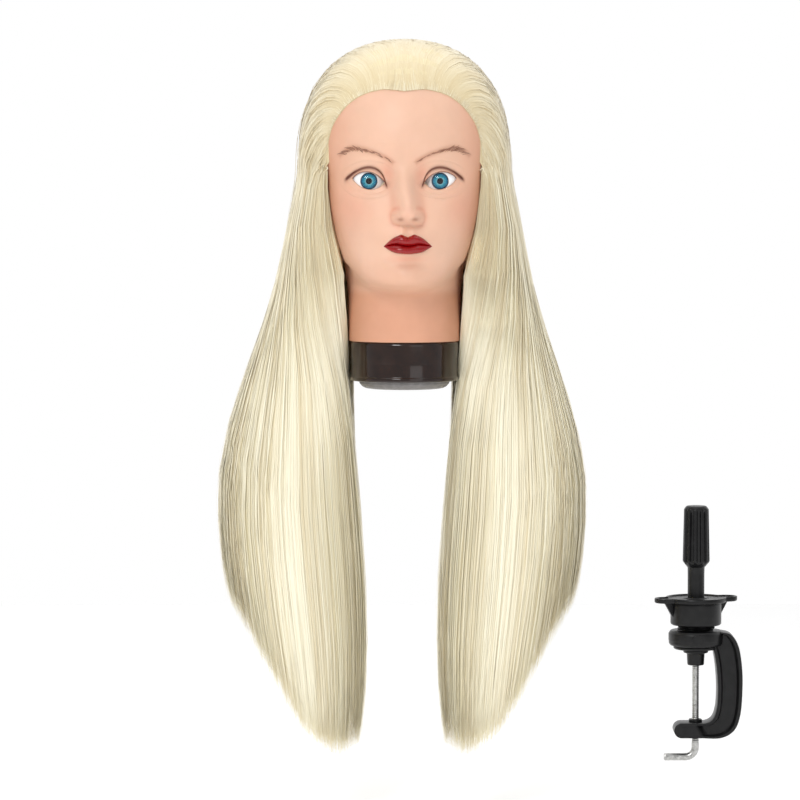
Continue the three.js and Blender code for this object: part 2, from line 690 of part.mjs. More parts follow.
function makeScrew() {
  const bend = 8;
  const reach = 26;
  const low = SCREW_R;
  const path = new THREE.CurvePath();
  const at = (x, z) => new THREE.Vector3(x, 0, z);
  path.add(new THREE.LineCurve3(at(0, 84.6), at(0, low + bend)));
  path.add(new THREE.QuadraticBezierCurve3(at(0, low + bend), at(0, low), at(-bend, low)));
  path.add(new THREE.LineCurve3(at(-bend, low), at(-reach, low)));
  const section = new THREE.Shape();
  section.absarc(0, 0, SCREW_R, 0, Math.PI * 2, false);
  return solid(new THREE.ExtrudeGeometry(section, { steps: 24, extrudePath: path, curveSegments: 4 }));
}

function makeJawNut() {
  const nut = solid(cylinder(5.5, 27.3, 33.6, 6));
  return cut(nut, solid(cylinder(SCREW_R + GAP, 20, 40, 20)));
}

// ---------------------------------------------------------------- assembly
function makeHead() {
  const head = new THREE.Group();
  head.add(mesh("vinyl_skin", makeSkin(), "vinyl"), mesh("rigid_core", makeCore(), "foam"));
  const eyePieces = { eyeball: [makeEyeball(), "eyeWhite"], iris: [makeIris(), "iris"], cornea: [makeCornea(), "cornea"] };
  for (const [side, label] of [[1, "left"], [-1, "right"]]) {
    for (const [piece, [shape, material]] of Object.entries(eyePieces)) {
      const placed = mesh(`${label}_${piece}`, shape, material);
      placed.position.set(side * EYE.x, EYE.y, EYE.z);
      head.add(placed);
    }
  }
  head.add(
    mesh("neck_collar", makeCollar(), "collar"),
    mesh("base_plate", makeBasePlate(), "greyPlastic"),
    mesh("screw_carrier", makeScrewCarrier(), "greyPlastic"),
    mesh("socket_tube", makeSocketTube(), "greyPlastic"),
  );
  SCREW_ANGLES.forEach((angle, i) => {
    const screw = mesh(`base_screw_${i + 1}`, makeBaseScrew(), "steel");
    screw.position.set(...screwSpot(angle));
    head.add(screw);
  });
  return head;
}

function makeHair() {
  const hair = new THREE.Group();
  const neckClear = solid(cylinder(NECK_R + 1, -2, 60));
  const headClear = joined(headSolid(2.4, 20, 22, 0), ...ears(1.2), neckClear);
  hair.add(mesh("crown_hair", makeCrown(headClear), "hair"));
  const [seam, seamGap] = [0.5, 0.02];
  for (const [side, label] of [[1, "left"], [-1, "right"]]) {
    const frontLock = makeLock(side, 0, seam);
    const frontGrown = makeLock(side, 0, seam + seamGap);
    const front = largest(cut(frontLock, headClear));
    const back = largest(cut(makeLock(side, seam, 1), headClear, frontLock, frontGrown));
    hair.add(mesh(`${label}_front_hair`, front, "hair"), mesh(`${label}_back_hair`, back, "hair"));
  }
  return hair;
}

function makeClamp() {
  const clamp = new THREE.Group();
  clamp.add(
    mesh("clamp_frame", makeFrame(), "blackPlastic"),
    mesh("collet_sleeve", makeCollet(), "blackPlastic"),
    mesh("jaw_pad", makeJawPad(), "blackPlastic"),
    mesh("collar_plug", makePlug(), "blackPlastic"),
    mesh("wing_nut", makeWingNut(), "blackPlastic"),
    mesh("spigot_post", makePost(), "blackPlastic"),
    mesh("post_clip", makeClip(), "steel"),
    mesh("pressure_foot", makeFoot(), "blackPlastic"),
    mesh("clamp_screw", makeScrew(), "steel"),
    mesh("jaw_nut", makeJawNut(), "blackPlastic"),
  );
  rivetSpots().forEach((spot, i) => {
    const rivet = mesh(`pad_rivet_${i + 1}`, makeRivet(), "steel");
    rivet.position.set(...spot);
    clamp.add(rivet);
  });
  clamp.position.set(CLAMP_X, 0, CLAMP_FLOOR_Z);
  return clamp;
}

const trainingHead = new THREE.Group();
trainingHead.add(makeHead(), makeHair(), makeClamp());
export default trainingHead;
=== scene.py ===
"""A salon training head with long pale hair, and its table clamp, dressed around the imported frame.

Lengths are worked out in millimetres from the frame's boxes and become metres when a mesh is made.
X is the head's left, -Y the way it looks, +Z up.
"""
import math

import bpy
import numpy as np
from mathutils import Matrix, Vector


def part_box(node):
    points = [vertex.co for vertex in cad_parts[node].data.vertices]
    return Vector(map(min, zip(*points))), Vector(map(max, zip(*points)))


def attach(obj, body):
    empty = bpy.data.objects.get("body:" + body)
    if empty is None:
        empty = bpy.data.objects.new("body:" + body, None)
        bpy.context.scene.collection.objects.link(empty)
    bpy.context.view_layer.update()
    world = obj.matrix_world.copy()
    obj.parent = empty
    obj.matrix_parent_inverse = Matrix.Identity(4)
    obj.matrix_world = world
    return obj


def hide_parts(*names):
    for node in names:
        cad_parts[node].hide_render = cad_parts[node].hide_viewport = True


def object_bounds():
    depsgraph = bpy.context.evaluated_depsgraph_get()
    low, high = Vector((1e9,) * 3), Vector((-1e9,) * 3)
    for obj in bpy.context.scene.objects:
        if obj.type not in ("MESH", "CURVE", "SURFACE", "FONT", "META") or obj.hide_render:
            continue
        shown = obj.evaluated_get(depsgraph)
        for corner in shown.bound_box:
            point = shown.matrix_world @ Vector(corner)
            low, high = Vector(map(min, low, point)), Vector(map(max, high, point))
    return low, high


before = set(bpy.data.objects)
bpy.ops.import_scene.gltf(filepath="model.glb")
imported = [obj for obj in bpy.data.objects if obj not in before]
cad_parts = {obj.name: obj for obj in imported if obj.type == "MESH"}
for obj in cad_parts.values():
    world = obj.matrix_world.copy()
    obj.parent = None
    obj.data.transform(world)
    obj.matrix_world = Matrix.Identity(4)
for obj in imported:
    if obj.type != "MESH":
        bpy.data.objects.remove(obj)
cad_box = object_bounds()

MM = 0.001
RNG = np.random.default_rng(11)


def node_box(node):
    """Lowest and highest corner of a CAD node, in millimetres."""
    low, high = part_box(node)
    return np.array(low) / MM, np.array(high) / MM


# ------------------------------------------------------------------ camera, light and floor
SIGHT = Vector((-0.0035, 0.0, -0.0095))
CAMERA_DISTANCE = 3.0
CAMERA_TILT = math.radians(3.4)
FRAME_WIDTH = 0.640
LIGHT_AIM = Vector((0, 0, 0.02))
FLOOR_DROP = 0.045
FLOOR_HALF = 1.5


def make_camera():
    """A long lens a little above the collar, looking along +Y."""
    data = bpy.data.cameras.new("camera")
    data.sensor_width = 36
    data.lens = data.sensor_width * CAMERA_DISTANCE / FRAME_WIDTH
    camera = bpy.data.objects.new("camera", data)
    back = Vector((0, -math.cos(CAMERA_TILT), math.sin(CAMERA_TILT)))
    camera.location = SIGHT + back * CAMERA_DISTANCE
    camera.rotation_euler = (-back).to_track_quat("-Z", "Y").to_euler()
    bpy.context.collection.objects.link(camera)
    bpy.context.scene.camera = camera


def make_light(name, place, size, watts):
    data = bpy.data.lights.new(name, "AREA")
    data.shape = "RECTANGLE"
    data.size, data.size_y = size
    data.energy = watts
    lamp = bpy.data.objects.new(name, data)
    lamp.location = place
    lamp.rotation_euler = (LIGHT_AIM - Vector(place)).to_track_quat("-Z", "Y").to_euler()
    bpy.context.collection.objects.link(lamp)


def shade_room(tree):
    """The room's light by direction: white behind the head, and darker on the side that it faces."""
    direction = add_node(tree, "ShaderNodeTexCoord")
    split = add_node(tree, "ShaderNodeSeparateXYZ")
    spread = add_node(tree, "ShaderNodeMapRange", interpolation_type="SMOOTHSTEP")
    for socket, value in (("From Min", -0.45), ("From Max", 0.45), ("To Min", 0.52), ("To Max", 1.0)):
        spread.inputs[socket].default_value = value
    tree.links.new(direction.outputs["Generated"], split.inputs["Vector"])
    tree.links.new(split.outputs["Y"], spread.inputs["Value"])
    tree.links.new(spread.outputs["Result"], tree.nodes["Background"].inputs["Strength"])
    tree.nodes["Background"].inputs["Color"].default_value = (1, 1, 1, 1)


def make_studio():
    """A white room over a white floor, with a soft key from the head's upper right, a fill from its
    left and a broad top light."""
    scene = bpy.context.scene
    scene.view_settings.view_transform = "Standard"
    world = bpy.data.worlds.new("white_room")
    world.use_nodes = True
    shade_room(world.node_tree)
    scene.world = world
    make_light("key", (-0.55, -1.7, 0.95), (0.5, 0.5), 13)
    make_light("fill", (0.9, -1.9, 0.3), (1.0, 1.0), 3)
    make_light("top", (0, 0.1, 1.9), (2.4, 2.4), 17)

    floor_z = cad_box[0][2] - FLOOR_DROP
    mesh = bpy.data.meshes.new("floor")
    corners = [(x * FLOOR_HALF, y * FLOOR_HALF, floor_z) for x, y in ((-1, -1), (1, -1), (1, 1), (-1, 1))]
    mesh.from_pydata(corners, [], [(0, 1, 2, 3)])
    floor = bpy.data.objects.new("floor", mesh)
    bpy.context.collection.objects.link(floor)
    paint = bpy.data.materials.new("pale_floor")
    paint.use_nodes = True
    shader = paint.node_tree.nodes["Principled BSDF"]
    shader.inputs["Base Color"].default_value = (0.97, 0.97, 0.97, 1)
    shader.inputs["Roughness"].default_value = 0.9
    shader.inputs["Emission Color"].default_value = (1, 1, 1, 1)
    shader.inputs["Emission Strength"].default_value = 0.07
    mesh.materials.append(paint)


# ------------------------------------------------------------------ meshes from arrays
def link_mesh(name, points, faces, material, body, slot, sharp=None):
    """A mesh object from points in millimetres and a list of equal-length face arrays."""
    mesh = bpy.data.meshes.new(name)
    points = np.asarray(points, dtype=np.float64).reshape(-1, 3) * MM
    loops = np.concatenate([f.reshape(-1) for f in faces]).astype(np.int32)
    sizes = np.concatenate([np.full(len(f), f.shape[1], dtype=np.int32) for f in faces])
    mesh.vertices.add(len(points))
    mesh.vertices.foreach_set("co", points.reshape(-1))
    mesh.loops.add(len(loops))
    mesh.loops.foreach_set("vertex_index", loops)
    mesh.polygons.add(len(sizes))
    starts = np.concatenate([[0], np.cumsum(sizes)[:-1]]).astype(np.int32)
    mesh.polygons.foreach_set("loop_start", starts)
    mesh.polygons.foreach_set("loop_total", sizes)
    mesh.polygons.foreach_set("use_smooth", np.ones(len(sizes), dtype=bool))
    mesh.update(calc_edges=True)
    mesh.validate()
    if sharp is not None:
        mesh.set_sharp_from_angle(angle=math.radians(sharp))
    mesh.materials.append(material)
    piece = bpy.data.objects.new(name, mesh)
    bpy.context.collection.objects.link(piece)
    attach(piece, body)
    return piece


def grid_faces(rows, columns, wrap_rows=False):
    """Quads between neighbours of a grid of closed rings. A vertex's number is row * columns + column."""
    i = np.arange(rows if wrap_rows else rows - 1)[:, None]
    j = np.arange(columns)[None, :]
    i_next, j_next = (i + 1) % rows, (j + 1) % columns
    quads = [i * columns + j, i * columns + j_next, i_next * columns + j_next, i_next * columns + j]
    return np.stack(quads, axis=-1).reshape(-1, 4)


def closed_tube(grid):
    """Points and faces of a closed body from a grid of rings: each end gets a fan to its middle."""
    rows, columns = grid.shape[:2]
    points = np.concatenate([grid.reshape(-1, 3), [grid[0].mean(axis=0), grid[-1].mean(axis=0)]])
    quads = grid_faces(rows, columns)
    j = np.arange(columns)
    j_next = (j + 1) % columns
    first, last = rows * columns, rows * columns + 1
    base = (rows - 1) * columns
    fans = np.concatenate([
        np.stack([np.full(columns, first), j_next, j], axis=-1),
        np.stack([np.full(columns, last), base + j, base + j_next], axis=-1),
    ])
    return points, turned_out(points, [quads, fans])


def closed_loop(grid):
    """Points and faces of a ring-shaped body, whose last ring joins its first."""
    points = grid.reshape(-1, 3)
    return points, turned_out(points, [grid_faces(*grid.shape[:2], wrap_rows=True)])


def turned_out(points, faces):
    """The faces, reversed when the volume that they enclose comes out negative."""
    volume = 0.0
    for group in faces:
        for k in range(1, group.shape[1] - 1):
            a, b, c = points[group[:, 0]], points[group[:, k]], points[group[:, k + 1]]
            volume += np.einsum("ij,ij->i", a, np.cross(b, c)).sum()
    return faces if volume > 0 else [group[:, ::-1] for group in faces]


def joined(parts):
    """Several (points, faces) bodies as one, each still closed by itself."""
    points, faces, start = [], [], 0
    for part_points, part_faces in parts:
        points.append(part_points)
        faces += [group + start for group in part_faces]
        start += len(part_points)
    return np.concatenate(points), faces


def set_attribute(piece, name, values):
    """One number per vertex, or one colour when values has three columns."""
    values = np.asarray(values, dtype=np.float32)
    mesh = piece.data
    if values.ndim == 2:
        layer = mesh.color_attributes.new(name, "FLOAT_COLOR", "POINT")
        opaque = np.c_[values, np.ones(len(values))].astype(np.float32)
        layer.data.foreach_set("color", opaque.reshape(-1))
    else:
        layer = mesh.attributes.new(name, "FLOAT", "POINT")
        layer.data.foreach_set("value", values)


def smooth(t):
    """0 to 1 with no slope at either end."""
    t = np.clip(t, 0, 1)
    return t * t * (3 - 2 * t)


def mix(a, b, t):
    return a + (b - a) * t


def table_weights(knots, x, flat=False):
    """Cubic Hermite weights of a smooth curve through knots, one row of weights for each x. Its slope at
    a knot is the slope between the two knots beside it. A flat curve has no slope at its ends."""
    knots = np.asarray(knots, dtype=float)
    x = np.clip(np.asarray(x, dtype=float).ravel(), min(knots[0], knots[-1]), max(knots[0], knots[-1]))
    n = len(knots)
    order = knots if knots[1] > knots[0] else -knots
    xs = x if knots[1] > knots[0] else -x
    i = np.clip(np.searchsorted(order, xs, side="right") - 1, 0, n - 2)
    width = order[i + 1] - order[i]
    t = (xs - order[i]) / width
    slopes = np.zeros((n, n))
    for k in range(n):
        before, after = max(k - 1, 0), min(k + 1, n - 1)
        slopes[k, after] = 1 / (order[after] - order[before])
        slopes[k, before] = -slopes[k, after]
    if flat:
        slopes[[0, -1]] = 0
    weights = np.zeros((len(xs), n))
    rows = np.arange(len(xs))
    weights[rows, i] += (1 + 2 * t) * (1 - t) ** 2
    weights[rows, i + 1] += t * t * (3 - 2 * t)
    weights += (width * t * (1 - t) ** 2)[:, None] * slopes[i]
    weights += (width * t * t * (t - 1))[:, None] * slopes[i + 1]
    return weights


def through(knots, values, x):
    """A smooth curve through (knots, values), read at x."""
    x = np.asarray(x, dtype=float)
    return (table_weights(knots, x) @ np.asarray(values, dtype=float)).reshape(x.shape)


def mirrored_azimuth(azimuth):
    """Degrees from the front, 0 to 180, on either side."""
    return np.abs((np.asarray(azimuth) + 180) % 360 - 180)


# ------------------------------------------------------------------ materials
def srgb(r, g, b):
    """A colour given as screen values from 0 to 255, made linear."""
    c = np.array([r, g, b]) / 255
    return tuple(np.where(c <= 0.04045, c / 12.92, ((c + 0.055) / 1.055) ** 2.4)) + (1.0,)


def new_material(name, colour, roughness, **sockets):
    """A material, its tree and its shader; sockets gives constants by name, with _ for a space."""
    material = bpy.data.materials.new(name)
    material.use_nodes = True
    shader = material.node_tree.nodes["Principled BSDF"]
    shader.inputs["Base Color"].default_value = colour
    shader.inputs["Roughness"].default_value = roughness
    for socket, value in sockets.items():
        shader.inputs[socket.replace("_", " ")].default_value = value
    return material, material.node_tree, shader


def add_node(tree, kind, **values):
    """A new node; each value goes to the socket of that name, or else to the node's property."""
    node = tree.nodes.new(kind)
    for key, value in values.items():
        if key in node.inputs:
            node.inputs[key].default_value = value
        else:
            setattr(node, key, value)
    return node


def object_noise(tree, scale, detail=4.0, stretch=(1, 1, 1), roughness=0.55):
    """Noise on Object coordinates; scale is in waves per metre, stretch squeezes it along each axis."""
    place = add_node(tree, "ShaderNodeTexCoord")
    mapping = add_node(tree, "ShaderNodeMapping")
    mapping.inputs["Scale"].default_value = stretch
    noise = add_node(tree, "ShaderNodeTexNoise", Scale=scale, Detail=detail, Roughness=roughness)
    tree.links.new(place.outputs["Object"], mapping.inputs["Vector"])
    tree.links.new(mapping.outputs["Vector"], noise.inputs["Vector"])
    return noise.outputs["Fac"]


def add_bump(tree, shader, height, strength, distance):
    bump = add_node(tree, "ShaderNodeBump", Strength=strength, Distance=distance)
    tree.links.new(height, bump.inputs["Height"])
    tree.links.new(bump.outputs["Normal"], shader.inputs["Normal"])


def ramp(tree, source, stops):
    """A colour ramp: stops are (position, colour)."""
    node = add_node(tree, "ShaderNodeValToRGB")
    elements = node.color_ramp.elements
    while len(elements) < len(stops):
        elements.new(0.5)
    for element, (position, colour) in zip(elements, stops):
        element.position, element.color = position, colour
    tree.links.new(source, node.inputs["Fac"])
    return node.outputs["Color"]


def mix_colour(tree, factor, first, second, blend="MIX"):
    """Mixes two colours; each is a socket or a colour, and factor a socket or a number."""
    node = add_node(tree, "ShaderNodeMix", data_type="RGBA", blend_type=blend)
    ports = {"Factor": node.inputs[0], "A": node.inputs[6], "B": node.inputs[7]}
    for port, value in (("Factor", factor), ("A", first), ("B", second)):
        if isinstance(value, bpy.types.NodeSocket):
            tree.links.new(value, ports[port])
        else:
            ports[port].default_value = value
    return node.outputs[2]


def attribute(tree, name, output="Fac"):
    return add_node(tree, "ShaderNodeAttribute", attribute_name=name).outputs[output]


def rough_range(tree, shader, source, low, high):
    """Roughness that follows a 0 to 1 source between two values."""
    spread = add_node(tree, "ShaderNodeMapRange")
    spread.inputs["To Min"].default_value = low
    spread.inputs["To Max"].default_value = high
    tree.links.new(source, spread.inputs["Value"])
    tree.links.new(spread.outputs["Result"], shader.inputs["Roughness"])


def make_vinyl():
    """Soft skin-coloured vinyl: painted tone from the mesh, which holds painted shade besides the skin's
    own colours, fine mottling and pores.
    """
    material, tree, shader = new_material(
        "soft_vinyl", srgb(236, 190, 162), 0.46, Subsurface_Weight=0.12, Subsurface_Scale=0.004)
    shader.inputs["Subsurface Radius"].default_value = (1.0, 0.45, 0.25)
    tone = attribute(tree, "tone", "Color")
    mottling = object_noise(tree, 38, 3)
    warm = ramp(tree, mottling, [(0.3, (0.96, 0.95, 0.94, 1)), (0.7, (1.03, 1.03, 1.03, 1))])
    tree.links.new(mix_colour(tree, 1.0, tone, warm, "MULTIPLY"), shader.inputs["Base Color"])
    pores = object_noise(tree, 1400, 2)
    rough_range(tree, shader, pores, 0.40, 0.54)
    add_bump(tree, shader, pores, 0.10, 0.0003)
    return material


def make_lip_paint():
    """Deep red gloss paint with fine upright creases."""
    material, tree, shader = new_material(
        "lip_paint", srgb(150, 14, 20), 0.22, Specular_IOR_Level=0.35,
        Coat_Weight=0.4, Coat_Roughness=0.09)
    creases = object_noise(tree, 260, 3, (6, 1, 0.7))
    shade = ramp(tree, creases, [(0.25, srgb(128, 0, 5)), (0.75, srgb(166, 8, 12))])
    tree.links.new(shade, shader.inputs["Base Color"])
    add_bump(tree, shader, creases, 0.1, 0.0004)
    return material


def make_painted(name, roughness, **sockets):
    """A finish whose colour is painted on the mesh's vertices."""
    material, tree, shader = new_material(name, (0.8, 0.8, 0.8, 1), roughness, **sockets)
    grain = object_noise(tree, 900, 2)
    shade = ramp(tree, grain, [(0.3, (0.95, 0.95, 0.95, 1)), (0.7, (1.04, 1.04, 1.04, 1))])
    tone = attribute(tree, "tone", "Color")
    tree.links.new(mix_colour(tree, 1.0, tone, shade, "MULTIPLY"), shader.inputs["Base Color"])
    return material


def make_hair_fibre(name, dark, light):
    """Silky fibre between two tones, by the mesh's shade attribute, which on the loose strands also holds
    painted shade and painted light.
    """
    material, tree, shader = new_material(name, light, 0.34, Specular_IOR_Level=0.5)
    shader.inputs["Sheen Weight"].default_value = 0.12
    shader.inputs["Sheen Roughness"].default_value = 0.4
    shade = ramp(tree, attribute(tree, "shade"), [(0.0, dark), (1.0, light)])
    tree.links.new(shade, shader.inputs["Base Color"])
    return material


def make_hair_mass(dark, light):
    """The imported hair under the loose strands, with streaks that run along the locks."""
    material, tree, shader = new_material("hair_mass", light, 0.42, Specular_IOR_Level=0.45)
    uv = add_node(tree, "ShaderNodeUVMap", uv_map="along")
    mapping = add_node(tree, "ShaderNodeMapping")
    mapping.inputs["Scale"].default_value = (420, 2.2, 1)
    streaks = add_node(tree, "ShaderNodeTexNoise", Scale=1.0, Detail=5.0, Roughness=0.65)
    tree.links.new(uv.outputs["UV"], mapping.inputs["Vector"])
    tree.links.new(mapping.outputs["Vector"], streaks.inputs["Vector"])
    shade = ramp(tree, streaks.outputs["Fac"], [(0.25, dark), (0.75, light)])
    tree.links.new(shade, shader.inputs["Base Color"])
    add_bump(tree, shader, streaks.outputs["Fac"], 0.5, 0.0008)
    return material


def make_moulded(name, low, high, roughness, grain=900, **sockets):
    """Moulded plastic: two close tones, a fine grain in its gloss, and a shallow bump."""
    material, tree, shader = new_material(name, high, roughness, **sockets)
    mottling = object_noise(tree, grain / 6, 4)
    tree.links.new(ramp(tree, mottling, [(0.3, low), (0.7, high)]), shader.inputs["Base Color"])
    fine = object_noise(tree, grain, 3)
    rough_range(tree, shader, fine, roughness * 0.85, roughness * 1.2)
    add_bump(tree, shader, fine, 0.12, 0.0002)
    return material


def make_steel():
    """Zinc-plated steel, with a slight mottling."""
    material, tree, shader = new_material("plated_steel", srgb(190, 190, 188), 0.28, Metallic=1.0)
    mottling = object_noise(tree, 500, 4)
    tree.links.new(ramp(tree, mottling, [(0.3, srgb(160, 160, 158)), (0.7, srgb(206, 206, 204))]),
                   shader.inputs["Base Color"])
    rough_range(tree, shader, mottling, 0.2, 0.42)
    add_bump(tree, shader, mottling, 0.15, 0.0002)
    return material


def make_clear():
    """A clear lens, thin enough to be a see-through film with a bright gloss."""
    material, tree, shader = new_material(
        "clear_lens", (0.02, 0.02, 0.02, 1), 0.02, Alpha=0.16, Specular_IOR_Level=1.0,
        Coat_Weight=1.0, Coat_Roughness=0.02)
    material.surface_render_method = "BLENDED"
    ripple = object_noise(tree, 60, 1)
    rough_range(tree, shader, ripple, 0.01, 0.03)
    return material


# ------------------------------------------------------------------ the head's surface
COLLAR_LOW, COLLAR_HIGH = node_box("neck_collar")
EYE_LOW, EYE_HIGH = node_box("left_eyeball")
EYE_R = (EYE_HIGH[0] - EYE_LOW[0]) / 2
EYE_X = (EYE_HIGH[0] + EYE_LOW[0]) / 2
EYE_Y = EYE_HIGH[1] - EYE_R
EYE_Z = (EYE_HIGH[2] + EYE_LOW[2]) / 2
HEAD_TOP = node_box("vinyl_skin")[1][2]
SKIN_BOTTOM = node_box("vinyl_skin")[0][2]
EQUATOR_Z = 195
DOME_POWER = 2.3

AZIMUTHS = [0, 20, 40, 65, 90, 135, 180]
ROW_Z = np.array([
    [195] * 7,
    [172] * 7,
    [148] * 7,
    [126, 126, 125, 124, 124, 124, 124],
    [106.5, 106.5, 105.5, 104, 104, 104, 104],
    [88.5, 90.5, 94, 98.5, 99, 99, 99],
    [81.5, 82.8, 86, 89, 89, 89, 89],
    [76, 76.4, 78, 79, 79, 79, 79],
    [60] * 7,
    [SKIN_BOTTOM] * 7,
])
ROW_R = np.array([
    [87, 85.5, 81, 73.5, 70, 82, 90],
    [83, 82.5, 79.5, 71.5, 69, 82, 90],
    [84, 82.5, 78.5, 68.5, 66, 77, 84],
    [86.5, 83, 75, 61.5, 58.5, 66, 71],
    [85.5, 80.5, 68.5, 53.5, 51, 56, 59],
    [85, 76.5, 60.5, 49, 48.2, 52, 54.5],
    [76, 67, 54, 46.8, 46.6, 49.6, 51.5],
    [55, 50.5, 47, 45.2, 45.3, 47.4, 48.8],
    [46, 45.6, 45, 44.8, 44.8, 45.6, 46],
    [44.3] * 7,
])
DOME_SHARE = 0.3


def bump(x, z, x0, z0, sx, sz):
    return np.exp(-((x - x0) / sx) ** 2 - ((z - z0) / sz) ** 2)


def face_lean(z):
    """The nose, mouth and chin stand a little to the left of the middle."""
    return 2.6 * smooth((164 - z) / 20)


def face_relief(x0, z):
    """How far the face stands out along -Y from the plain meridians: a sum of smooth hills and dips."""
    x = x0 - face_lean(z)
    side = np.abs(x)
    bridge = np.clip((179 - z) / 38, 0, 1) ** 1.25
    under = np.sqrt(np.clip(1 - np.clip((141.5 - z) / 10, 0, 1) ** 2, 0, 1))
    nose_width = mix(5.6, 8.0, bridge)
    relief = 20.5 * bridge * under * np.exp(-np.abs(x / nose_width) ** 2.3)
    wing = np.hypot(side - 7.4, (z - 137.6) / 1.1)
    relief += 6.8 * np.exp(-(wing / 4.5) ** 3)
    relief -= 0.9 * np.exp(-((wing - 6.0) / 1.2) ** 2) * smooth((side - 5) / 4)
    relief -= 2.4 * bump(side, z, 5.8, 136.0, 2.5, 1.9)
    relief -= 3.0 * bump(np.abs(x0), z, EYE_X, 166, 17, 10.5)
    relief -= 2.2 * bump(np.abs(x0), z, 13.5, 168, 6, 9)
    relief += 1.7 * bump(np.abs(x0), z, 25, 184, 20, 7)
    relief += 2.6 * bump(x, z, 0, 117, 24, 14)
    relief += 1.2 * bump(x, z, 0, 116, 16, 9)
    relief -= 0.9 * bump(x, z, 0, 127.5, 2.4, 4.5) - 0.5 * bump(side, z, 4.4, 126.5, 2.0, 4.5)
    relief -= 2.8 * bump(x, z, 0, 102.5, 14, 4.2)
    relief += 3.4 * bump(x, z, 0, 92, 13, 8.5)
    relief += 2.2 * bump(side, z, 35, 146, 16, 17)
    return relief


def head_radius(azimuth, z):
    """Radius of the plain head, without the face, at degrees from the front and a height."""
    azimuth, z = np.broadcast_arrays(mirrored_azimuth(azimuth).astype(float), np.asarray(z, dtype=float))
    across = table_weights(AZIMUTHS, azimuth, True)
    row_z = across @ ROW_Z.T
    row_r = across @ ROW_R.T
    flat_z = z.ravel()
    t = np.clip((flat_z - EQUATOR_Z) / (HEAD_TOP - EQUATOR_Z), 0, 0.9999)
    dome = row_r[:, 0] * (1 - t ** DOME_POWER) ** (1 / DOME_POWER)
    steps = np.arange(ROW_Z.shape[0])
    k = np.clip((row_z > flat_z[:, None]).sum(axis=1) - 1, 0, len(steps) - 2)
    picked = np.arange(len(flat_z))
    z0, z1 = row_z[picked, k], row_z[picked, k + 1]
    part = np.clip((z0 - flat_z) / (z0 - z1), 0, 1)
    wall = np.einsum("ij,ij->i", table_weights(steps, k + part), row_r)
    return np.where(flat_z > EQUATOR_Z, dome, wall).reshape(z.shape)


def head_grid(azimuth, v):
    """The head's surface on a grid of degrees and v, from the top (0) to the neck's end (1)."""
    turn = mirrored_azimuth(azimuth)
    across = table_weights(AZIMUTHS, turn, True)
    rise = np.sin((1 - np.clip(v / DOME_SHARE, 0, 1)) * math.pi / 2)[:, None]
    along = np.clip((v - DOME_SHARE) / (1 - DOME_SHARE), 0, 1) * (len(ROW_Z) - 1)
    down = table_weights(np.arange(len(ROW_Z)), along)
    wall_z, wall_r = down @ (across @ ROW_Z.T).T, down @ (across @ ROW_R.T).T
    dome_z = EQUATOR_Z + (HEAD_TOP - EQUATOR_Z) * rise
    dome_r = (across @ ROW_R[0])[None, :] * np.clip(1 - rise ** DOME_POWER, 0, 1) ** (1 / DOME_POWER)
    on_dome = (v < DOME_SHARE)[:, None]
    z, r = np.where(on_dome, dome_z, wall_z), np.where(on_dome, dome_r, wall_r)
    a = np.radians(azimuth)[None, :]
    x, y = r * np.sin(a), -r * np.cos(a)
    facing = smooth((np.cos(a) - 0.1) / 0.4)
    return np.stack([x, y - facing * face_relief(x, z), z], axis=-1)


def face_y(x, z):
    """The face's Y at (x, z), found by closing in on the azimuth that gives x."""
    x, z = np.broadcast_arrays(np.asarray(x, float), np.asarray(z, float))
    azimuth = np.degrees(np.arcsin(np.clip(x / 84, -0.99, 0.99)))
    for _ in range(6):
        azimuth = np.degrees(np.arcsin(np.clip(x / head_radius(azimuth, z), -0.99, 0.99)))
    a = np.radians(azimuth)
    return -head_radius(azimuth, z) * np.cos(a) - smooth((np.cos(a) - 0.1) / 0.4) * face_relief(x, z)


# ------------------------------------------------------------------ eyes
LID_REACH = np.array([22.0, 14.5])  # half width and half height of the lids' patch
OPEN_WIDTH, OPEN_UP, OPEN_DOWN, OPEN_TILT = 12.7, 6.9, 6.9, 1.6
CREASE_X = [-16, -13.6, -11.8, -9, -5, 0, 5.5, 11.2, 15.5, 18.6, 21]
CREASE_Z = [-8, -2.8, 2.7, 7.0, 9.7, 10.7, 9.7, 6.9, 3.6, 1.3, 0.2]


def eye_opening(angle, side):
    """The lid margin round an eye, in x and z: an almond with its outer corner raised."""
    c, s = np.cos(angle), np.sin(angle)
    height = np.where(s > 0, OPEN_UP, OPEN_DOWN) * np.sign(s) * np.abs(s) ** 1.7
    return side * (EYE_X + 0.3 + OPEN_WIDTH * c), EYE_Z + 0.3 + height + OPEN_TILT * c


def lid_reach(angle, side):
    return side * (EYE_X + LID_REACH[0] * np.cos(angle)), EYE_Z + 1 + LID_REACH[1] * np.sin(angle)


def ball_y(x, z, side, radius):
    """Y of a sphere round the eye's middle; outside the sphere it runs back steeply."""
    reach = (x - side * EYE_X) ** 2 + (z - EYE_Z) ** 2
    outside = np.clip(reach - radius ** 2, 0, None)
    return EYE_Y - np.sqrt(np.clip(radius ** 2 - reach, 0, None)) + outside * 0.05


def blended_front(a, b, width):
    """The nearer to the viewer of two Y surfaces, with a rounded join."""
    h = np.clip(0.5 + (b - a) / (2 * width), 0, 1)
    return mix(b, a, h) - width * h * (1 - h)


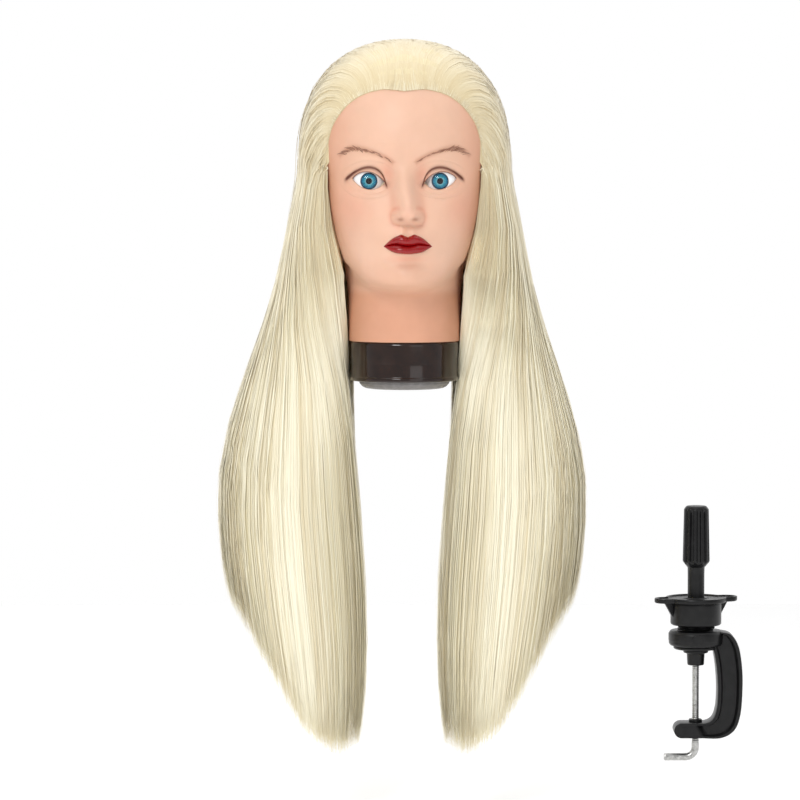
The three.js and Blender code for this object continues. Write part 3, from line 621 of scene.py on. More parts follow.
def make_lids(side, label, material):
    """One eye's upper and lower lid: rings run from the outer edge in to the margin, over it on to the
    ball, and back out behind, so that the patch closes on itself."""
    columns, rows = 176, 52
    angle = np.linspace(0, 2 * math.pi, columns, endpoint=False)
    rho = np.linspace(1, 0, rows)[:, None]
    x0, z0 = eye_opening(angle, side)
    x1, z1 = lid_reach(angle, side)
    x, z = mix(x0, x1, rho), mix(z0, z1, rho)
    out, up = side * x - EYE_X, z - EYE_Z
    skin = face_y(x, z)
    lid = blended_front(ball_y(x, z, side, EYE_R + 1.3), skin + 0.4, 2.0)
    y = mix(lid, skin, smooth((rho - 0.35) / 0.5))
    upper = smooth(np.sin(angle)[None, :] / 0.3)
    lower = smooth(-np.sin(angle)[None, :] / 0.3)
    crease_gap = up - through(CREASE_X, CREASE_Z, out)
    reach = smooth((out + 15.5) / 3) * smooth((20.5 - out) / 4) * (up > -6)
    fold, swell = np.exp(-(crease_gap / 0.7) ** 2), np.exp(-((crease_gap + 2.6) / 1.6) ** 2)
    y = y + reach * (0.9 * fold - 0.5 * swell)
    y = y + 0.3 * np.exp(-((rho - 0.45) / 0.12) ** 2) * lower
    front = np.stack([x, y, z], axis=-1)
    lip = []
    for inset, radius in ((0.15, EYE_R + 0.9), (0.35, EYE_R + 0.45), (0.45, EYE_R + 0.05)):
        shrink = 1 - inset / 12
        xi = side * EYE_X + (x0 - side * EYE_X) * shrink
        zi = EYE_Z + (z0 - EYE_Z) * shrink
        lip.append(np.stack([xi, ball_y(xi, zi, side, radius), zi], axis=-1))
    hidden_rho = np.linspace(0.05, 1, 8)[:, None]
    xb, zb = mix(x0, x1, hidden_rho), mix(z0, z1, hidden_rho)
    yb = np.maximum(ball_y(xb, zb, side, EYE_R - 0.1), face_y(xb, zb) + 1.5)
    back = np.stack([xb, yb, zb], axis=-1)
    points, faces = closed_loop(np.concatenate([front, np.array(lip), back]))
    piece = link_mesh(f"{label}_eyelids", points, faces, material, "head", "vinyl")

    blank = np.zeros((len(lip) + len(hidden_rho), columns))
    wing = smooth((out - 8) / 8)
    line = np.exp(-np.abs(crease_gap / mix(1.2, 1.7, wing)) ** 2.2) * mix(0.6, 0.9, wing) * reach
    soft = 0.36 * np.exp(-((crease_gap + 0.8) / 2.6) ** 2) * reach
    margin = (0.75 * upper + 0.3 * lower) * np.exp(-(rho / 0.05) ** 2)
    # Painted shade: a brown patch in the inner corner of the eye.
    corner = 0.5 * bump(out, up, -13.2, -2.4, 2.6, 2.6)
    # Brown ink for the crease line, the soft band under it and the lid liner, with the inner corner's
    # painted shade.
    ink_and_shade = np.concatenate([np.clip(line + soft + margin + corner, 0, 1), blank])
    ink_and_shade[rows:rows + len(lip)] = 0.35 + 0.3 * upper
    tone = skin_tone(points)
    brown = np.array(srgb(112, 62, 46)[:3])
    set_attribute(piece, "tone", mix(tone, brown, np.clip(ink_and_shade, 0, 1).reshape(-1, 1)))
    return piece


def turned_profile(profile, columns, axis_point, axis="y"):
    """A profile of (radius, distance) carried round an axis that points to -Y, or up with axis z."""
    profile = np.asarray(profile, dtype=float)
    angle = np.linspace(0, 2 * math.pi, columns, endpoint=False)
    c, s = np.cos(angle)[None, :], np.sin(angle)[None, :]
    r, d = profile[:, :1], profile[:, 1:] + 0 * c
    if axis == "y":
        grid = np.stack([r * c, -d, r * s], axis=-1)
    else:
        grid = np.stack([r * c, r * s, d], axis=-1)
    return grid + np.asarray(axis_point, dtype=float)


def arc_points(centre, radius, start, end, count):
    """Points of a circle's arc in (radius, distance), angles in degrees."""
    a = np.radians(np.linspace(start, end, count))
    return np.stack([centre[0] + radius * np.cos(a), centre[1] + radius * np.sin(a)], axis=-1)


IRIS_R, PUPIL_R = 6.8, 2.1


def make_eye(side, label, looks):
    """The white ball with a shallow seat, the iris disc in it, and the clear dome over that."""
    middle = (side * EYE_X, EYE_Y, EYE_Z)
    seat = math.sqrt(EYE_R ** 2 - IRIS_R ** 2)
    edge = math.degrees(math.asin(seat / EYE_R))
    ball = np.concatenate([
        arc_points((0, 0), EYE_R, -89, edge, 40),
        [[IRIS_R - 0.1, seat - 0.15], [IRIS_R - 0.25, seat - 0.7], [4.0, seat - 2.6], [0.4, seat - 2.6]],
    ])
    points, faces = closed_tube(turned_profile(ball, 72, middle))
    white = link_mesh(f"{label}_eye_white", points, faces, looks["eye_white"], "head", "eye_white", 35)
    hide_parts(f"{label}_eyeball")
    reach = np.hypot(points[:, 0] - middle[0], points[:, 2] - middle[2])
    blush = smooth((reach - 11) / 3)[:, None] * 0.2
    clean, pink = np.array(srgb(253, 254, 255)[:3]), np.array(srgb(235, 214, 206)[:3])
    set_attribute(white, "tone", mix(clean, pink, blush))

    rings = np.linspace(IRIS_R - 0.3, 0.3, 26)
    bowl = seat - 0.45 - 0.5 * (1 - rings / IRIS_R) - np.where(rings < PUPIL_R, 0.35, 0)
    disc = np.concatenate([[[0.3, seat - 1.9], [IRIS_R - 0.4, seat - 1.1]], np.c_[rings, bowl]])
    grid = turned_profile(disc, 144, middle)
    points, faces = closed_tube(grid)
    iris = link_mesh(f"{label}_iris_disc", points, faces, looks["iris"], "head", "iris")
    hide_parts(f"{label}_iris")
    streaks = RNG.normal(0, 1, 144)
    streaks = (streaks + np.roll(streaks, 1) + np.roll(streaks, 2)) / 3
    radius = np.concatenate([[0.3, IRIS_R - 0.4], rings])[:, None] / IRIS_R
    shade = 1 + 0.22 * streaks[None, :] * smooth((radius - 0.3) / 0.25)
    stops = [0, 0.30, 0.335, 0.40, 0.52, 0.70, 0.82, 0.90, 1.0]
    colours = [(4, 4, 6), (4, 4, 6), (10, 62, 98), (150, 232, 244), (48, 192, 222), (10, 156, 196),
               (0, 116, 160), (0, 40, 64), (4, 20, 32)]
    painted = np.array([srgb(*c)[:3] for c in colours])
    tone = np.stack([np.interp(radius + 0 * shade, stops, painted[:, k]) for k in range(3)], axis=-1)
    tone = np.clip(tone * shade[..., None], 0, 1).reshape(-1, 3)
    set_attribute(iris, "tone", np.concatenate([tone, tone[:1], tone[-1:]]))

    dome = np.concatenate([
        [[0.3, seat - 0.15], [IRIS_R - 0.35, seat - 0.15], [IRIS_R - 0.05, seat - 0.05]],
        arc_points((0, seat + 1.7 - 14.6), 14.6, 63.5, 88.8, 14),
    ])
    points, faces = closed_tube(turned_profile(dome, 72, middle))
    lens = link_mesh(f"{label}_clear_dome", points, faces, looks["clear"], "head", "cornea", 40)
    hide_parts(f"{label}_cornea")


# ------------------------------------------------------------------ skin and lips
def skin_tone(points):
    """Painted skin: warm cream, with painted shade browning it towards the sides, low down and under the
    chin, real blush on the cheeks and the nose's tip, painted shade at the inner eye corners, down the
    nose's sides, round the nostril wings and under the lower lip, nostrils darkened as painted shade, and
    soft brows.
    """
    x, z = points[:, 0] - face_lean(points[:, 2]), points[:, 2]
    side, eye_side = np.abs(x), np.abs(points[:, 0])
    cream, warm = np.array(srgb(234, 190, 164)[:3]), np.array(srgb(212, 146, 112)[:3])
    tone = np.tile(cream, (len(points), 1))
    # Painted shade: the skin browns towards the sides of the face and head.
    outward = smooth((eye_side - 30) / 40)
    # Painted shade: browner below the mouth, and most under the chin and on the neck.
    low = 0.25 * smooth((112 - z) / 30) + 0.4 * smooth((82 - z) / 8)
    tone = mix(tone, warm, np.clip(outward * 0.8 + low, 0, 1)[:, None])
    front = (points[:, 1] < -30).astype(float)
    # This colour carries the real blush on the cheeks and the nose's tip, and painted shade as well.
    blush = np.array(srgb(222, 142, 116)[:3])
    strength = 0.30 * bump(side, z, 42, 144, 15, 16) + 0.16 * bump(x, z, 0, 139, 8, 6)
    # Painted shade at the inner eye corners beside the bridge of the nose, and down the nose's sides.
    strength += 0.4 * bump(eye_side, z, 13, 171, 5, 10) + 0.25 * bump(side, z, 11, 150, 3.5, 12)
    # Painted shade round the nostril wings.
    wing_edge = np.hypot(side - 8, (z - 137.6) / 1.15) - 6.0
    strength += 0.3 * np.exp(-(wing_edge / 1.5) ** 2) * (side > 6)
    # Painted shade under the lower lip.
    strength += 0.35 * bump(x, z, 0, 105, 13, 2.5)
    tone = mix(tone, blush, np.clip(strength * front, 0, 1)[:, None])
    # Painted shade darkening the nostril dents.
    dark = np.array(srgb(148, 80, 58)[:3])
    nostril = 0.75 * bump(side, z, 5.8, 135.8, 2.6, 1.3) * front
    tone = mix(tone, dark, nostril[:, None])
    brow = brow_distance(eye_side, z)
    shade = np.array(srgb(190, 132, 106)[:3])
    return mix(tone, shade, (0.62 * np.exp(-np.abs(brow / 2.3) ** 2.0) * front)[:, None])


BROW_X = [9.4, 17, 24.6, 30.8, 38.7, 44.5, 50.2]
BROW_Z = [180.3, 184.8, 187.8, 189.8, 191.3, 189.9, 185.8]


def brow_distance(side, z):
    """Distance above or below the brow's line, growing quickly past its ends."""
    line = through(BROW_X, BROW_Z, side)
    past = np.clip(BROW_X[0] - side, 0, None) + np.clip(side - BROW_X[-1], 0, None)
    return np.abs(z - line) + past


def make_skin(material):
    """The vinyl skin: columns packed towards the face, rows towards the features."""
    columns, rows = 330, 280
    u = np.linspace(0, 1, columns, endpoint=False)
    azimuth = 360 * u - np.degrees(0.78 * np.sin(2 * math.pi * u))
    v = np.linspace(0.004, 1, rows)
    grid = head_grid(azimuth, v)
    x, y, z = grid[..., 0], grid[..., 1], grid[..., 2]
    for side in (-1, 1):
        reach = np.hypot((x - side * EYE_X) / LID_REACH[0], (z - EYE_Z - 1) / LID_REACH[1])
        sunk = smooth((0.97 - reach) / 0.22) * (y < -20)
        grid[..., 1] = y + sunk * np.clip(EYE_Y + 16 - y, 0, None)
    sink = smooth((0.86 - lip_reach(x, z)) / 0.3) * (y < -20)
    grid[..., 1] += 2.2 * sink
    points, faces = closed_tube(grid)
    skin = link_mesh("face_and_neck_skin", points, faces, material, "head", "vinyl")
    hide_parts("vinyl_skin")
    set_attribute(skin, "tone", skin_tone(points))


LIP_HALF = 18.7
LIP_X = [0, 2.5, 4.8, 7.8, 11.4, 15.2, 18.7]
LIP_TOP = [122.2, 123.2, 124.1, 123.2, 121.4, 118.3, 115.0]
LIP_LOW = [108.7, 108.7, 108.9, 109.3, 110.2, 112.3, 114.6]
LIP_PART = [115.0, 115.2, 115.6, 116.3, 116.2, 115.5, 114.8]


def lip_edges(x):
    """Top edge, parting and bottom edge of the lips at x."""
    side = np.clip(np.abs(x - face_lean(116)), 0, LIP_HALF)
    return [through(LIP_X, values, side) for values in (LIP_TOP, LIP_PART, LIP_LOW)]


def lip_reach(x, z):
    """0 in the middle of the lips, 1 on their outline."""
    top, part, low = lip_edges(x)
    upright = np.where(z > part, (z - part) / (top - part + 0.3), (part - z) / (part - low + 0.3))
    return np.maximum(np.abs(x - face_lean(116)) / LIP_HALF, np.abs(upright))


def make_lips(material):
    """Two full lips: across from corner to corner, and round each lip's swell, closed behind."""
    across = np.linspace(-1, 1, 121)
    x = (LIP_HALF - 0.05) * np.sin(across * math.pi / 2)
    fullness = np.clip(1 - np.abs(x / LIP_HALF) ** 3, 0, 1) ** 0.8
    x = x + face_lean(116)
    top, part, low = lip_edges(x)
    bodies = []
    for outline, swell, closed_to in ((top, 3.6, part), (low, 4.6, part)):
        s = np.linspace(0, 1, 22)[:, None]
        z = mix(outline, closed_to, s)
        profile = np.sin(math.pi * np.clip(s, 0, 1) ** (0.85 if swell < 4 else 0.62)) ** 0.7
        y = face_y(x + 0 * s, z) - fullness * swell * profile + 0.15 - 0.25 * s
        front = np.stack([x + 0 * s, y, z], axis=-1)
        t = np.linspace(1, 0, 6)[:, None]
        zb = mix(outline, closed_to, t)
        back = np.stack([x + 0 * t, face_y(x + 0 * t, zb) + 2.2, zb], axis=-1)
        loop = np.concatenate([front, back])
        bodies.append(closed_tube(np.swapaxes(loop, 0, 1)))
    points, faces = joined(bodies)
    link_mesh("painted_lips", points, faces, material, "head", "vinyl")


# ------------------------------------------------------------------ strands
def tubes(name, centres, radii, outward, material, body, slot, flatness=0.2):
    """Closed three-sided strands. centres is strand x step x 3; each section is a flattened triangle
    whose ridge points outward, and one small triangle closes each end. The long edges are sharp."""
    count, steps = centres.shape[:2]
    tangent = np.gradient(centres, axis=1)
    tangent /= np.linalg.norm(tangent, axis=-1, keepdims=True) + 1e-9
    across = np.cross(tangent, outward)
    across /= np.linalg.norm(across, axis=-1, keepdims=True) + 1e-9
    ridge = np.cross(across, tangent)
    r = radii[..., None]
    section = np.stack([
        centres + across * r - ridge * r * flatness * 0.5,
        centres + ridge * r * flatness,
        centres - across * r - ridge * r * flatness * 0.5,
    ], axis=2)
    points = section.reshape(-1, 3)
    base = (np.arange(count) * steps * 3)[:, None]
    one = grid_faces(steps, 3)
    quads = (base[:, :, None] + one[None]).reshape(-1, 4)
    first = base + np.array([[2, 1, 0]])
    last = base + (steps - 1) * 3 + np.array([[0, 1, 2]])
    faces = turned_out(points, [quads, np.concatenate([first, last])])
    return link_mesh(name, points, faces, material, body, slot, 75)


def spline(knots, steps):
    """A uniform cubic B-spline over strand x knot x 3 points, its ends drawn out to meet the knots."""
    before, after = 2 * knots[:, :1] - knots[:, 1:2], 2 * knots[:, -1:] - knots[:, -2:-1]
    padded = np.concatenate([before, knots, after], axis=1)
    n = knots.shape[1]
    u = np.clip(steps, 0, n - 1 - 1e-9)
    i = u.astype(int)
    t = u - i
    basis = np.zeros((len(u), n + 2))
    rows = np.arange(len(u))
    basis[rows, i] = (1 - t) ** 3 / 6
    basis[rows, i + 1] = (3 * t ** 3 - 6 * t ** 2 + 4) / 6
    basis[rows, i + 2] = (-3 * t ** 3 + 3 * t ** 2 + 3 * t + 1) / 6
    basis[rows, i + 3] = t ** 3 / 6
    return np.einsum("sk,nkc->nsc", basis, padded)


def make_brows(material):
    """Fine brow hairs along each brow line, long and slanting over the outer half, short within."""
    for side, label in ((1, "left"), (-1, "right")):
        count = 76
        place = np.sort(RNG.uniform(0, 1, count)) ** 0.75
        x = mix(BROW_X[0] + 1, BROW_X[-1] - 1, place)
        z = through(BROW_X, BROW_Z, x) + RNG.normal(0, 0.45, count)
        outer = smooth((x - 26) / 14)
        length = mix(3.4, 7.4, outer) * RNG.uniform(0.8, 1.1, count)
        slope = np.gradient(through(BROW_X, BROW_Z, x), x)
        heading = np.arctan(slope) + mix(0.08, 0.85, outer) * RNG.uniform(0.7, 1.1, count)
        bend = -0.5 * outer * RNG.uniform(0.5, 1.2, count)
        s = np.linspace(-0.5, 0.5, 7)[None, :]
        along = s * length[:, None]
        turn = heading[:, None] + bend[:, None] * (s + 0.5) * 0.8
        px = x[:, None] + along * np.cos(turn)
        pz = z[:, None] + along * np.sin(turn) - 0.3
        py = face_y(px, pz) - 0.12
        centres = np.stack([side * px, py, pz], axis=-1)
        taper = np.sin(math.pi * np.clip(s + 0.56, 0.03, 0.97)) ** 0.6
        radii = 0.25 * taper * RNG.uniform(0.7, 1.15, (count, 1)) * mix(0.75, 1.0, outer)[:, None]
        outward = np.zeros_like(centres) + np.array([0, -1.0, 0])
        piece = tubes(f"{label}_brow_hairs", centres, radii, outward, material, "head", "vinyl")
        set_attribute(piece, "shade", np.repeat(RNG.uniform(0, 1, count), 7 * 3))


# ------------------------------------------------------------------ hair
HAIR_WIDE = node_box("left_front_hair")[1][0]
HAIR_LOW_Z = node_box("left_front_hair")[0][2]
JOIN_Z = 172.0
SKULL_CENTRE = np.array([0.0, 0.0, EQUATOR_Z])
HAIR_Z = [172, 137, 98, 60, 21, 0, -36, -74, -130, -170, -209, -250, HAIR_LOW_Z]
HAIR_OUTER = np.array([84.5, 93, 102, 111.5, 125, 131.5, 142.5, 149.2, 147.0, 141, 133, 123, 111])
HAIR_OUTER = HAIR_OUTER * HAIR_WIDE / 149.1  # the widths above belong to a lock 149.1 wide
HAIR_INNER = [60, 56, 51, 47, 43, 41, 37.5, 34, 29, 27.5, 26.5, 29, 33]
HAIR_DEPTH = [40, 40, 40, 39, 38, 37, 36, 34, 31, 28, 25, 21, 16]
TIP_ACROSS = [0, 0.2, 0.4, 0.6, 0.77, 0.9, 1.0]
TIP_Z = np.array([-277, -286, -279, -260, -222, -187, -158])
TIP_Z = TIP_Z + (HAIR_LOW_Z + 291)  # the heights above belong to a lock that reaches -291
WRAP_LOW = COLLAR_HIGH[2] - 10  # below this the hair keeps clear of the collar's own width

HAIRLINE = np.array([  # degrees from the front and height, from the temple's foot up to the middle
    [52.0, 177], [51.2, 186], [49.7, 196], [45.5, 208], [40.3, 217], [33.9, 225.4], [25.2, 232.3],
    [13.3, 236.2], [6, 235.8], [0, 234.8],
])


def hairline_point(a):
    """Azimuth and height of the front hairline, for a from the temple's foot (0) to the middle (1)."""
    steps = np.cumsum(np.r_[0, np.hypot(np.diff(HAIRLINE[:, 0]) * 1.4, np.diff(HAIRLINE[:, 1]))])
    share = (1 - (1 - a) ** 1.25) * steps[-1]
    return through(steps, HAIRLINE[:, 0], share), through(steps, HAIRLINE[:, 1], share)


def lock_azimuth(a, z):
    """Degrees from the front where hair a lies at height z: the parabola through the front edge at a 0,
    the side (90) at a 0.5 and the nape at a 1."""
    front = mix(56.5, 52.5, smooth((z - 40) / 120))
    back = mix(150, 179.5, smooth((z - 40) / 60))
    c1 = 4 * (90 - front) - (back - front)
    c2 = 2 * (back - front) - 4 * (90 - front)
    return front + c1 * a + c2 * a * a


def lock_thickness(a, z):
    """How thick the hair lies over the head at a and z."""
    wrap_z = np.maximum(z, WRAP_LOW)
    sideways = through(HAIR_Z, HAIR_OUTER, z) - head_radius(90 + 0 * z, wrap_z) - 1
    azimuth = lock_azimuth(a, z)
    back = mix(sideways, 17, smooth((azimuth - 100) / 60))
    front_edge = np.sqrt(np.clip(a / 0.34, 0, 1) * (2 - np.clip(a / 0.34, 0, 1)))
    split = 1 - smooth((z - 40) / 55)
    back_edge = mix(1, np.sqrt(np.clip((1 - a) / 0.3, 0, 1)), split)
    return back * np.maximum(0.12, front_edge) * np.maximum(0.2, back_edge)


def lock_point(a, q, z):
    """The left-hand hair at place a (front edge 0, side 0.5, nape 1), layer q and height z. High up it
    is wrapped round the head; below the collar it hangs as an oval lock."""
    a, q, z = np.broadcast_arrays(a, q, z)
    wrap_z = np.maximum(z, WRAP_LOW)
    azimuth = np.radians(lock_azimuth(a, z))
    r = head_radius(np.degrees(azimuth), wrap_z) + 1 + lock_thickness(a, z) * q
    outer, inner = through(HAIR_Z, HAIR_OUTER, z), through(HAIR_Z, HAIR_INNER, z)
    depth = through(HAIR_Z, HAIR_DEPTH, z)
    turn = (2 * a - 1) * math.pi
    reach = np.sqrt(np.clip(q, 0, 2))
    x_hang = (outer + inner) / 2 + (outer - inner) / 2 * reach * np.cos(turn)
    y_hang = mix(0, 10, smooth((z + 80) / 140)) + depth * reach * np.sin(turn)
    hanging = 1 - smooth((z + 20) / 140)
    x = mix(r * np.sin(azimuth), x_hang, hanging)
    y = mix(-r * np.cos(azimuth), y_hang, hanging)
    return np.stack([x, y, z + 0 * x], axis=-1)


def tip_height(a, q):
    """Where the hair at (a, q) ends: short at the outer edge, long at the inner edge."""
    across = 0.5 + 0.5 * np.sqrt(np.clip(q, 0, 1)) * np.cos((2 * a - 1) * math.pi)
    return through(TIP_ACROSS, TIP_Z, across)


def scalp_distance(direction):
    """Distance from the skull's middle to the scalp along unit directions."""
    azimuth = np.degrees(np.arctan2(direction[..., 0], -direction[..., 1]))
    level = np.linalg.norm(direction[..., :2], axis=-1) + 1e-6
    height = direction[..., 2]
    equator = (table_weights(AZIMUTHS, mirrored_azimuth(azimuth), True) @ ROW_R[0]).reshape(height.shape)
    up = np.clip(height, 0, None) / (HEAD_TOP - EQUATOR_Z)
    return ((level / equator) ** DOME_POWER + up ** DOME_POWER) ** (-1 / DOME_POWER)


def unit(v):
    return v / (np.linalg.norm(v, axis=-1, keepdims=True) + 1e-9)


CROWN_STEPS = np.array([0.0, 0.07, 0.16, 0.3, 0.46, 0.62, 0.78, 0.9])
FALL = np.array([0, 0.05, 0.11, 0.18, 0.25, 0.33, 0.42, 0.51, 0.61, 0.71, 0.80, 0.88, 0.94, 0.975, 1])
SCALP_R = 88
RISE = 46  # how far from its root a strand reaches its full height over the scalp


def hair_knots(a, q, back=0.0, tip_shift=0.0):
    """The course of strands, as knots. Over the crown the directions from the skull's middle follow a
    cubic Bezier curve, from the hairline along the comb's way to the join above the ear; the hair then
    falls down the side of the head and on as a hanging lock to the tip. a, q, back (how far behind the
    hairline the root lies) and tip_shift have one value per strand."""
    a, q = a[:, None], q[:, None]
    back = np.broadcast_to(back, len(a))[:, None]
    azimuth, height = hairline_point(a[:, 0])
    r = head_radius(azimuth, height)
    root = np.stack([r * np.sin(np.radians(azimuth)), -r * np.cos(np.radians(azimuth)), height], axis=-1)
    step = 0.01
    az2, z2 = hairline_point(np.clip(a[:, 0] + step, 0, 1))
    az1, z1 = hairline_point(np.clip(a[:, 0] - step, 0, 1))
    r2, r1 = head_radius(az2, z2), head_radius(az1, z1)
    along = unit(np.stack([
        r2 * np.sin(np.radians(az2)) - r1 * np.sin(np.radians(az1)),
        -r2 * np.cos(np.radians(az2)) + r1 * np.cos(np.radians(az1)),
        z2 - z1,
    ], axis=-1))
    start = unit(root - SKULL_CENTRE)
    comb = unit(np.cross(start, along))
    comb *= np.sign(comb[:, 1:2] + 1e-9)
    comb = unit(mix(comb, np.array([0, 0.72, -0.69]), smooth((0.42 - a) / 0.42)))
    join = lock_point(a[:, 0], q[:, 0], np.full(len(a), JOIN_Z))
    end = unit(join - SKULL_CENTRE)
    arrive = unit(np.array([0, 0, 1.0]) - end * end[:, 2:3])
    angle = np.arccos(np.clip(np.sum(start * end, axis=-1), -1, 1))[:, None]
    pull = np.tan(np.clip(angle * 0.40, 0.005, 1.15))
    first, second = unit(start + comb * pull), unit(end + arrive * pull)
    w = (back + (1 - back) * CROWN_STEPS)[..., None]
    path = ((1 - w) ** 3 * start[:, None] + 3 * w * (1 - w) ** 2 * first[:, None]
            + 3 * w * w * (1 - w) * second[:, None] + w ** 3 * end[:, None])
    path = unit(path)
    travelled = (w[..., 0] - back) * angle * SCALP_R
    thick = mix(9.0, lock_thickness(a, np.full_like(a, JOIN_Z)), smooth(w[..., 0]))
    layer = np.where(q > 0.8, 0.8 + (q - 0.8) * mix(0.3, 1.0, smooth(w[..., 0])), q)
    lift = 0.35 + thick * layer * smooth(travelled / RISE + 0.02) ** 0.8
    crown = SKULL_CENTRE + path * (scalp_distance(path) + lift)[..., None]
    tip = tip_height(a, q) + np.broadcast_to(tip_shift, len(a))[:, None]
    z = JOIN_Z + (tip - JOIN_Z) * FALL[None, :]
    fall = lock_point(a + 0 * z, q + 0 * z, z)
    return np.concatenate([crown, fall], axis=1)


def sided(points, side):
    """The left-hand hair, or its mirror image. Low down, both locks stand a little to the head's right."""
    out = points.copy()
    low = smooth((140 - points[..., 2]) / 200)
    out[..., 0] = side * points[..., 0] - 1.8 * low
    return out


def wander(centres, size, waves):
    """Slow sideways drift along each strand: two low waves with their own phase, growing downwards."""
    count, steps = centres.shape[:2]
    s = np.linspace(0, 1, steps)[None, :]
    grown = smooth(s / 0.5)
    drift = np.zeros_like(centres)
    for axis in (0, 1):
        phase = RNG.uniform(0, 2 * math.pi, (count, 2))
        slow = np.sin(2 * math.pi * waves * s + phase[:, :1])
        quick = np.sin(2 * math.pi * waves * 2.3 * s + phase[:, 1:])
        drift[..., axis] = (slow + 0.5 * quick) * grown * size[:, None]
    return centres + drift


def hair_outward(centres, side):
    """Directions away from the head and from the middle of each hanging lock."""
    x, y, z = centres[..., 0], centres[..., 1], centres[..., 2]
    middle = mix(side * 88.0, 0.0, smooth((z + 170) / 320))
    return unit(np.stack([x - middle, 1.8 * (y - 10), 0.9 * np.clip(z - 175, 0, None)], axis=-1))


def make_hair_body(side, label, material):
    """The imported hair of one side: a closed loft whose loop runs along the outer layer and back along
    the inner one, with low ridges that run down the locks."""
    columns = 220
    loop = np.linspace(0, 1, columns, endpoint=False)
    outside = loop < 0.6
    a = np.where(outside, loop / 0.6, 1 - (loop - 0.6) / 0.4)
    ridges = np.interp(loop, np.linspace(0, 1, 61), RNG.normal(0, 1, 61))
    fine = np.interp(loop, np.linspace(0, 1, 161), RNG.normal(0, 1, 161))
    q = np.where(outside, 0.81 + 0.010 * ridges + 0.007 * fine, 0.03)
    q = np.where(outside, q * (1 - 0.15 * (np.abs(a - 0.5) * 2) ** 12), q)
    knots = hair_knots(a, q, tip_shift=np.clip(32 + 6 * ridges + 13 * fine, 10, 70))
    samples = spline(knots, np.linspace(0.02, knots.shape[1] - 1, 120))
    grid = sided(np.swapaxes(samples, 0, 1), side)
    end = smooth((np.linspace(0, 1, 120) - 0.93) / 0.07)[:, None]
    middle = grid.mean(axis=1, keepdims=True)
    grid[..., 1] = mix(grid[..., 1], middle[..., 1], 0.8 * end)
    points, faces = closed_tube(grid)
    body = link_mesh(f"{label}_hair_body", points, faces, material, "head", "hair")
    lengths = np.linspace(0, 1, 120)[:, None] + 0 * loop
    around = loop[None, :] + 0 * lengths
    coords = np.stack([around, lengths], axis=-1).reshape(-1, 2)
    coords = np.concatenate([coords, [[0.5, 0], [0.5, 1]]])
    corner = np.empty(len(body.data.loops), dtype=np.int32)
    body.data.loops.foreach_get("vertex_index", corner)
    layer = body.data.uv_layers.new(name="along")
    layer.data.foreach_set("uv", coords[corner].astype(np.float32).reshape(-1))
    return body


STRAND_STEPS = 24
STRAND_BUNDLES = 4
STRANDS_PER_BUNDLE = 1280


def strand_samples(last):
    """Spline steps: half of them close together over the crown, the rest down the lengths."""
    joint, half = len(CROWN_STEPS) + 0.5, STRAND_STEPS // 2
    crown = np.linspace(0, joint, half + 1)[:-1]
    return np.concatenate([crown, np.linspace(joint, last, STRAND_STEPS - half)])


def make_strands(side, label, material):
    """Loose strands over one side's packed hair, in bundles. Most lie in the outer layer, and some run
    inside the lock, where their tips fill out its slanting end. A strand's section faces the way from
    the same strand in a shallower layer."""
    for bundle in range(STRAND_BUNDLES):
        count = STRANDS_PER_BUNDLE
        a = RNG.uniform(0, 1, count)
        inner = RNG.uniform(0, 1, count) < 0.24
        q = np.where(inner, RNG.uniform(0.3, 0.8, count), 0.83 + 0.15 * RNG.beta(1.2, 2.4, count))
        back = np.where(RNG.uniform(0, 1, count) < 0.75, 0.0, RNG.uniform(0, 0.25, count))
        tip = RNG.normal(0, 7, count)
        tip = tip + np.where(RNG.uniform(0, 1, count) < 0.18, RNG.uniform(0, 40, count), 0)
        tip = np.maximum(tip, -7)
        knots = hair_knots(a, q, back, tip)
        steps = strand_samples(knots.shape[1] - 1)
        centres = sided(spline(knots, steps), side)
        shallow = hair_knots(a, q * 0.8, back, tip)
        outward = unit(centres - sided(spline(shallow, steps), side))
        stray = RNG.uniform(0, 1, count) < 0.03
        centres = wander(centres, np.where(stray, 2.2, 0.7), 1.1)
        s = np.linspace(0, 1, STRAND_STEPS)[None, :]
        taper = smooth(s / 0.06 + 0.25) * (1 - 0.88 * smooth((s - 0.84) / 0.16))
        radii = RNG.uniform(0.34, 0.62, (count, 1)) * taper
        piece = tubes(f"{label}_strands_{bundle + 1}", centres, radii, outward, material, "head", "hair")
        tint = np.clip(RNG.normal(0.55, 0.10, (count, 1)) + 0.08 * np.sin(a * 61 + side)[:, None], 0, 1)
        # Darker roots over the crown, partly the fibre's own tone and partly painted shade; the lower
        # lengths lightened as painted light.
        shade = tint * (0.38 + 0.62 * smooth(s / 0.34)) + 0.28 * smooth((s - 0.35) / 0.4)
        set_attribute(piece, "shade", np.repeat(np.clip(shade, 0, 1).reshape(-1), 3))
        yield piece


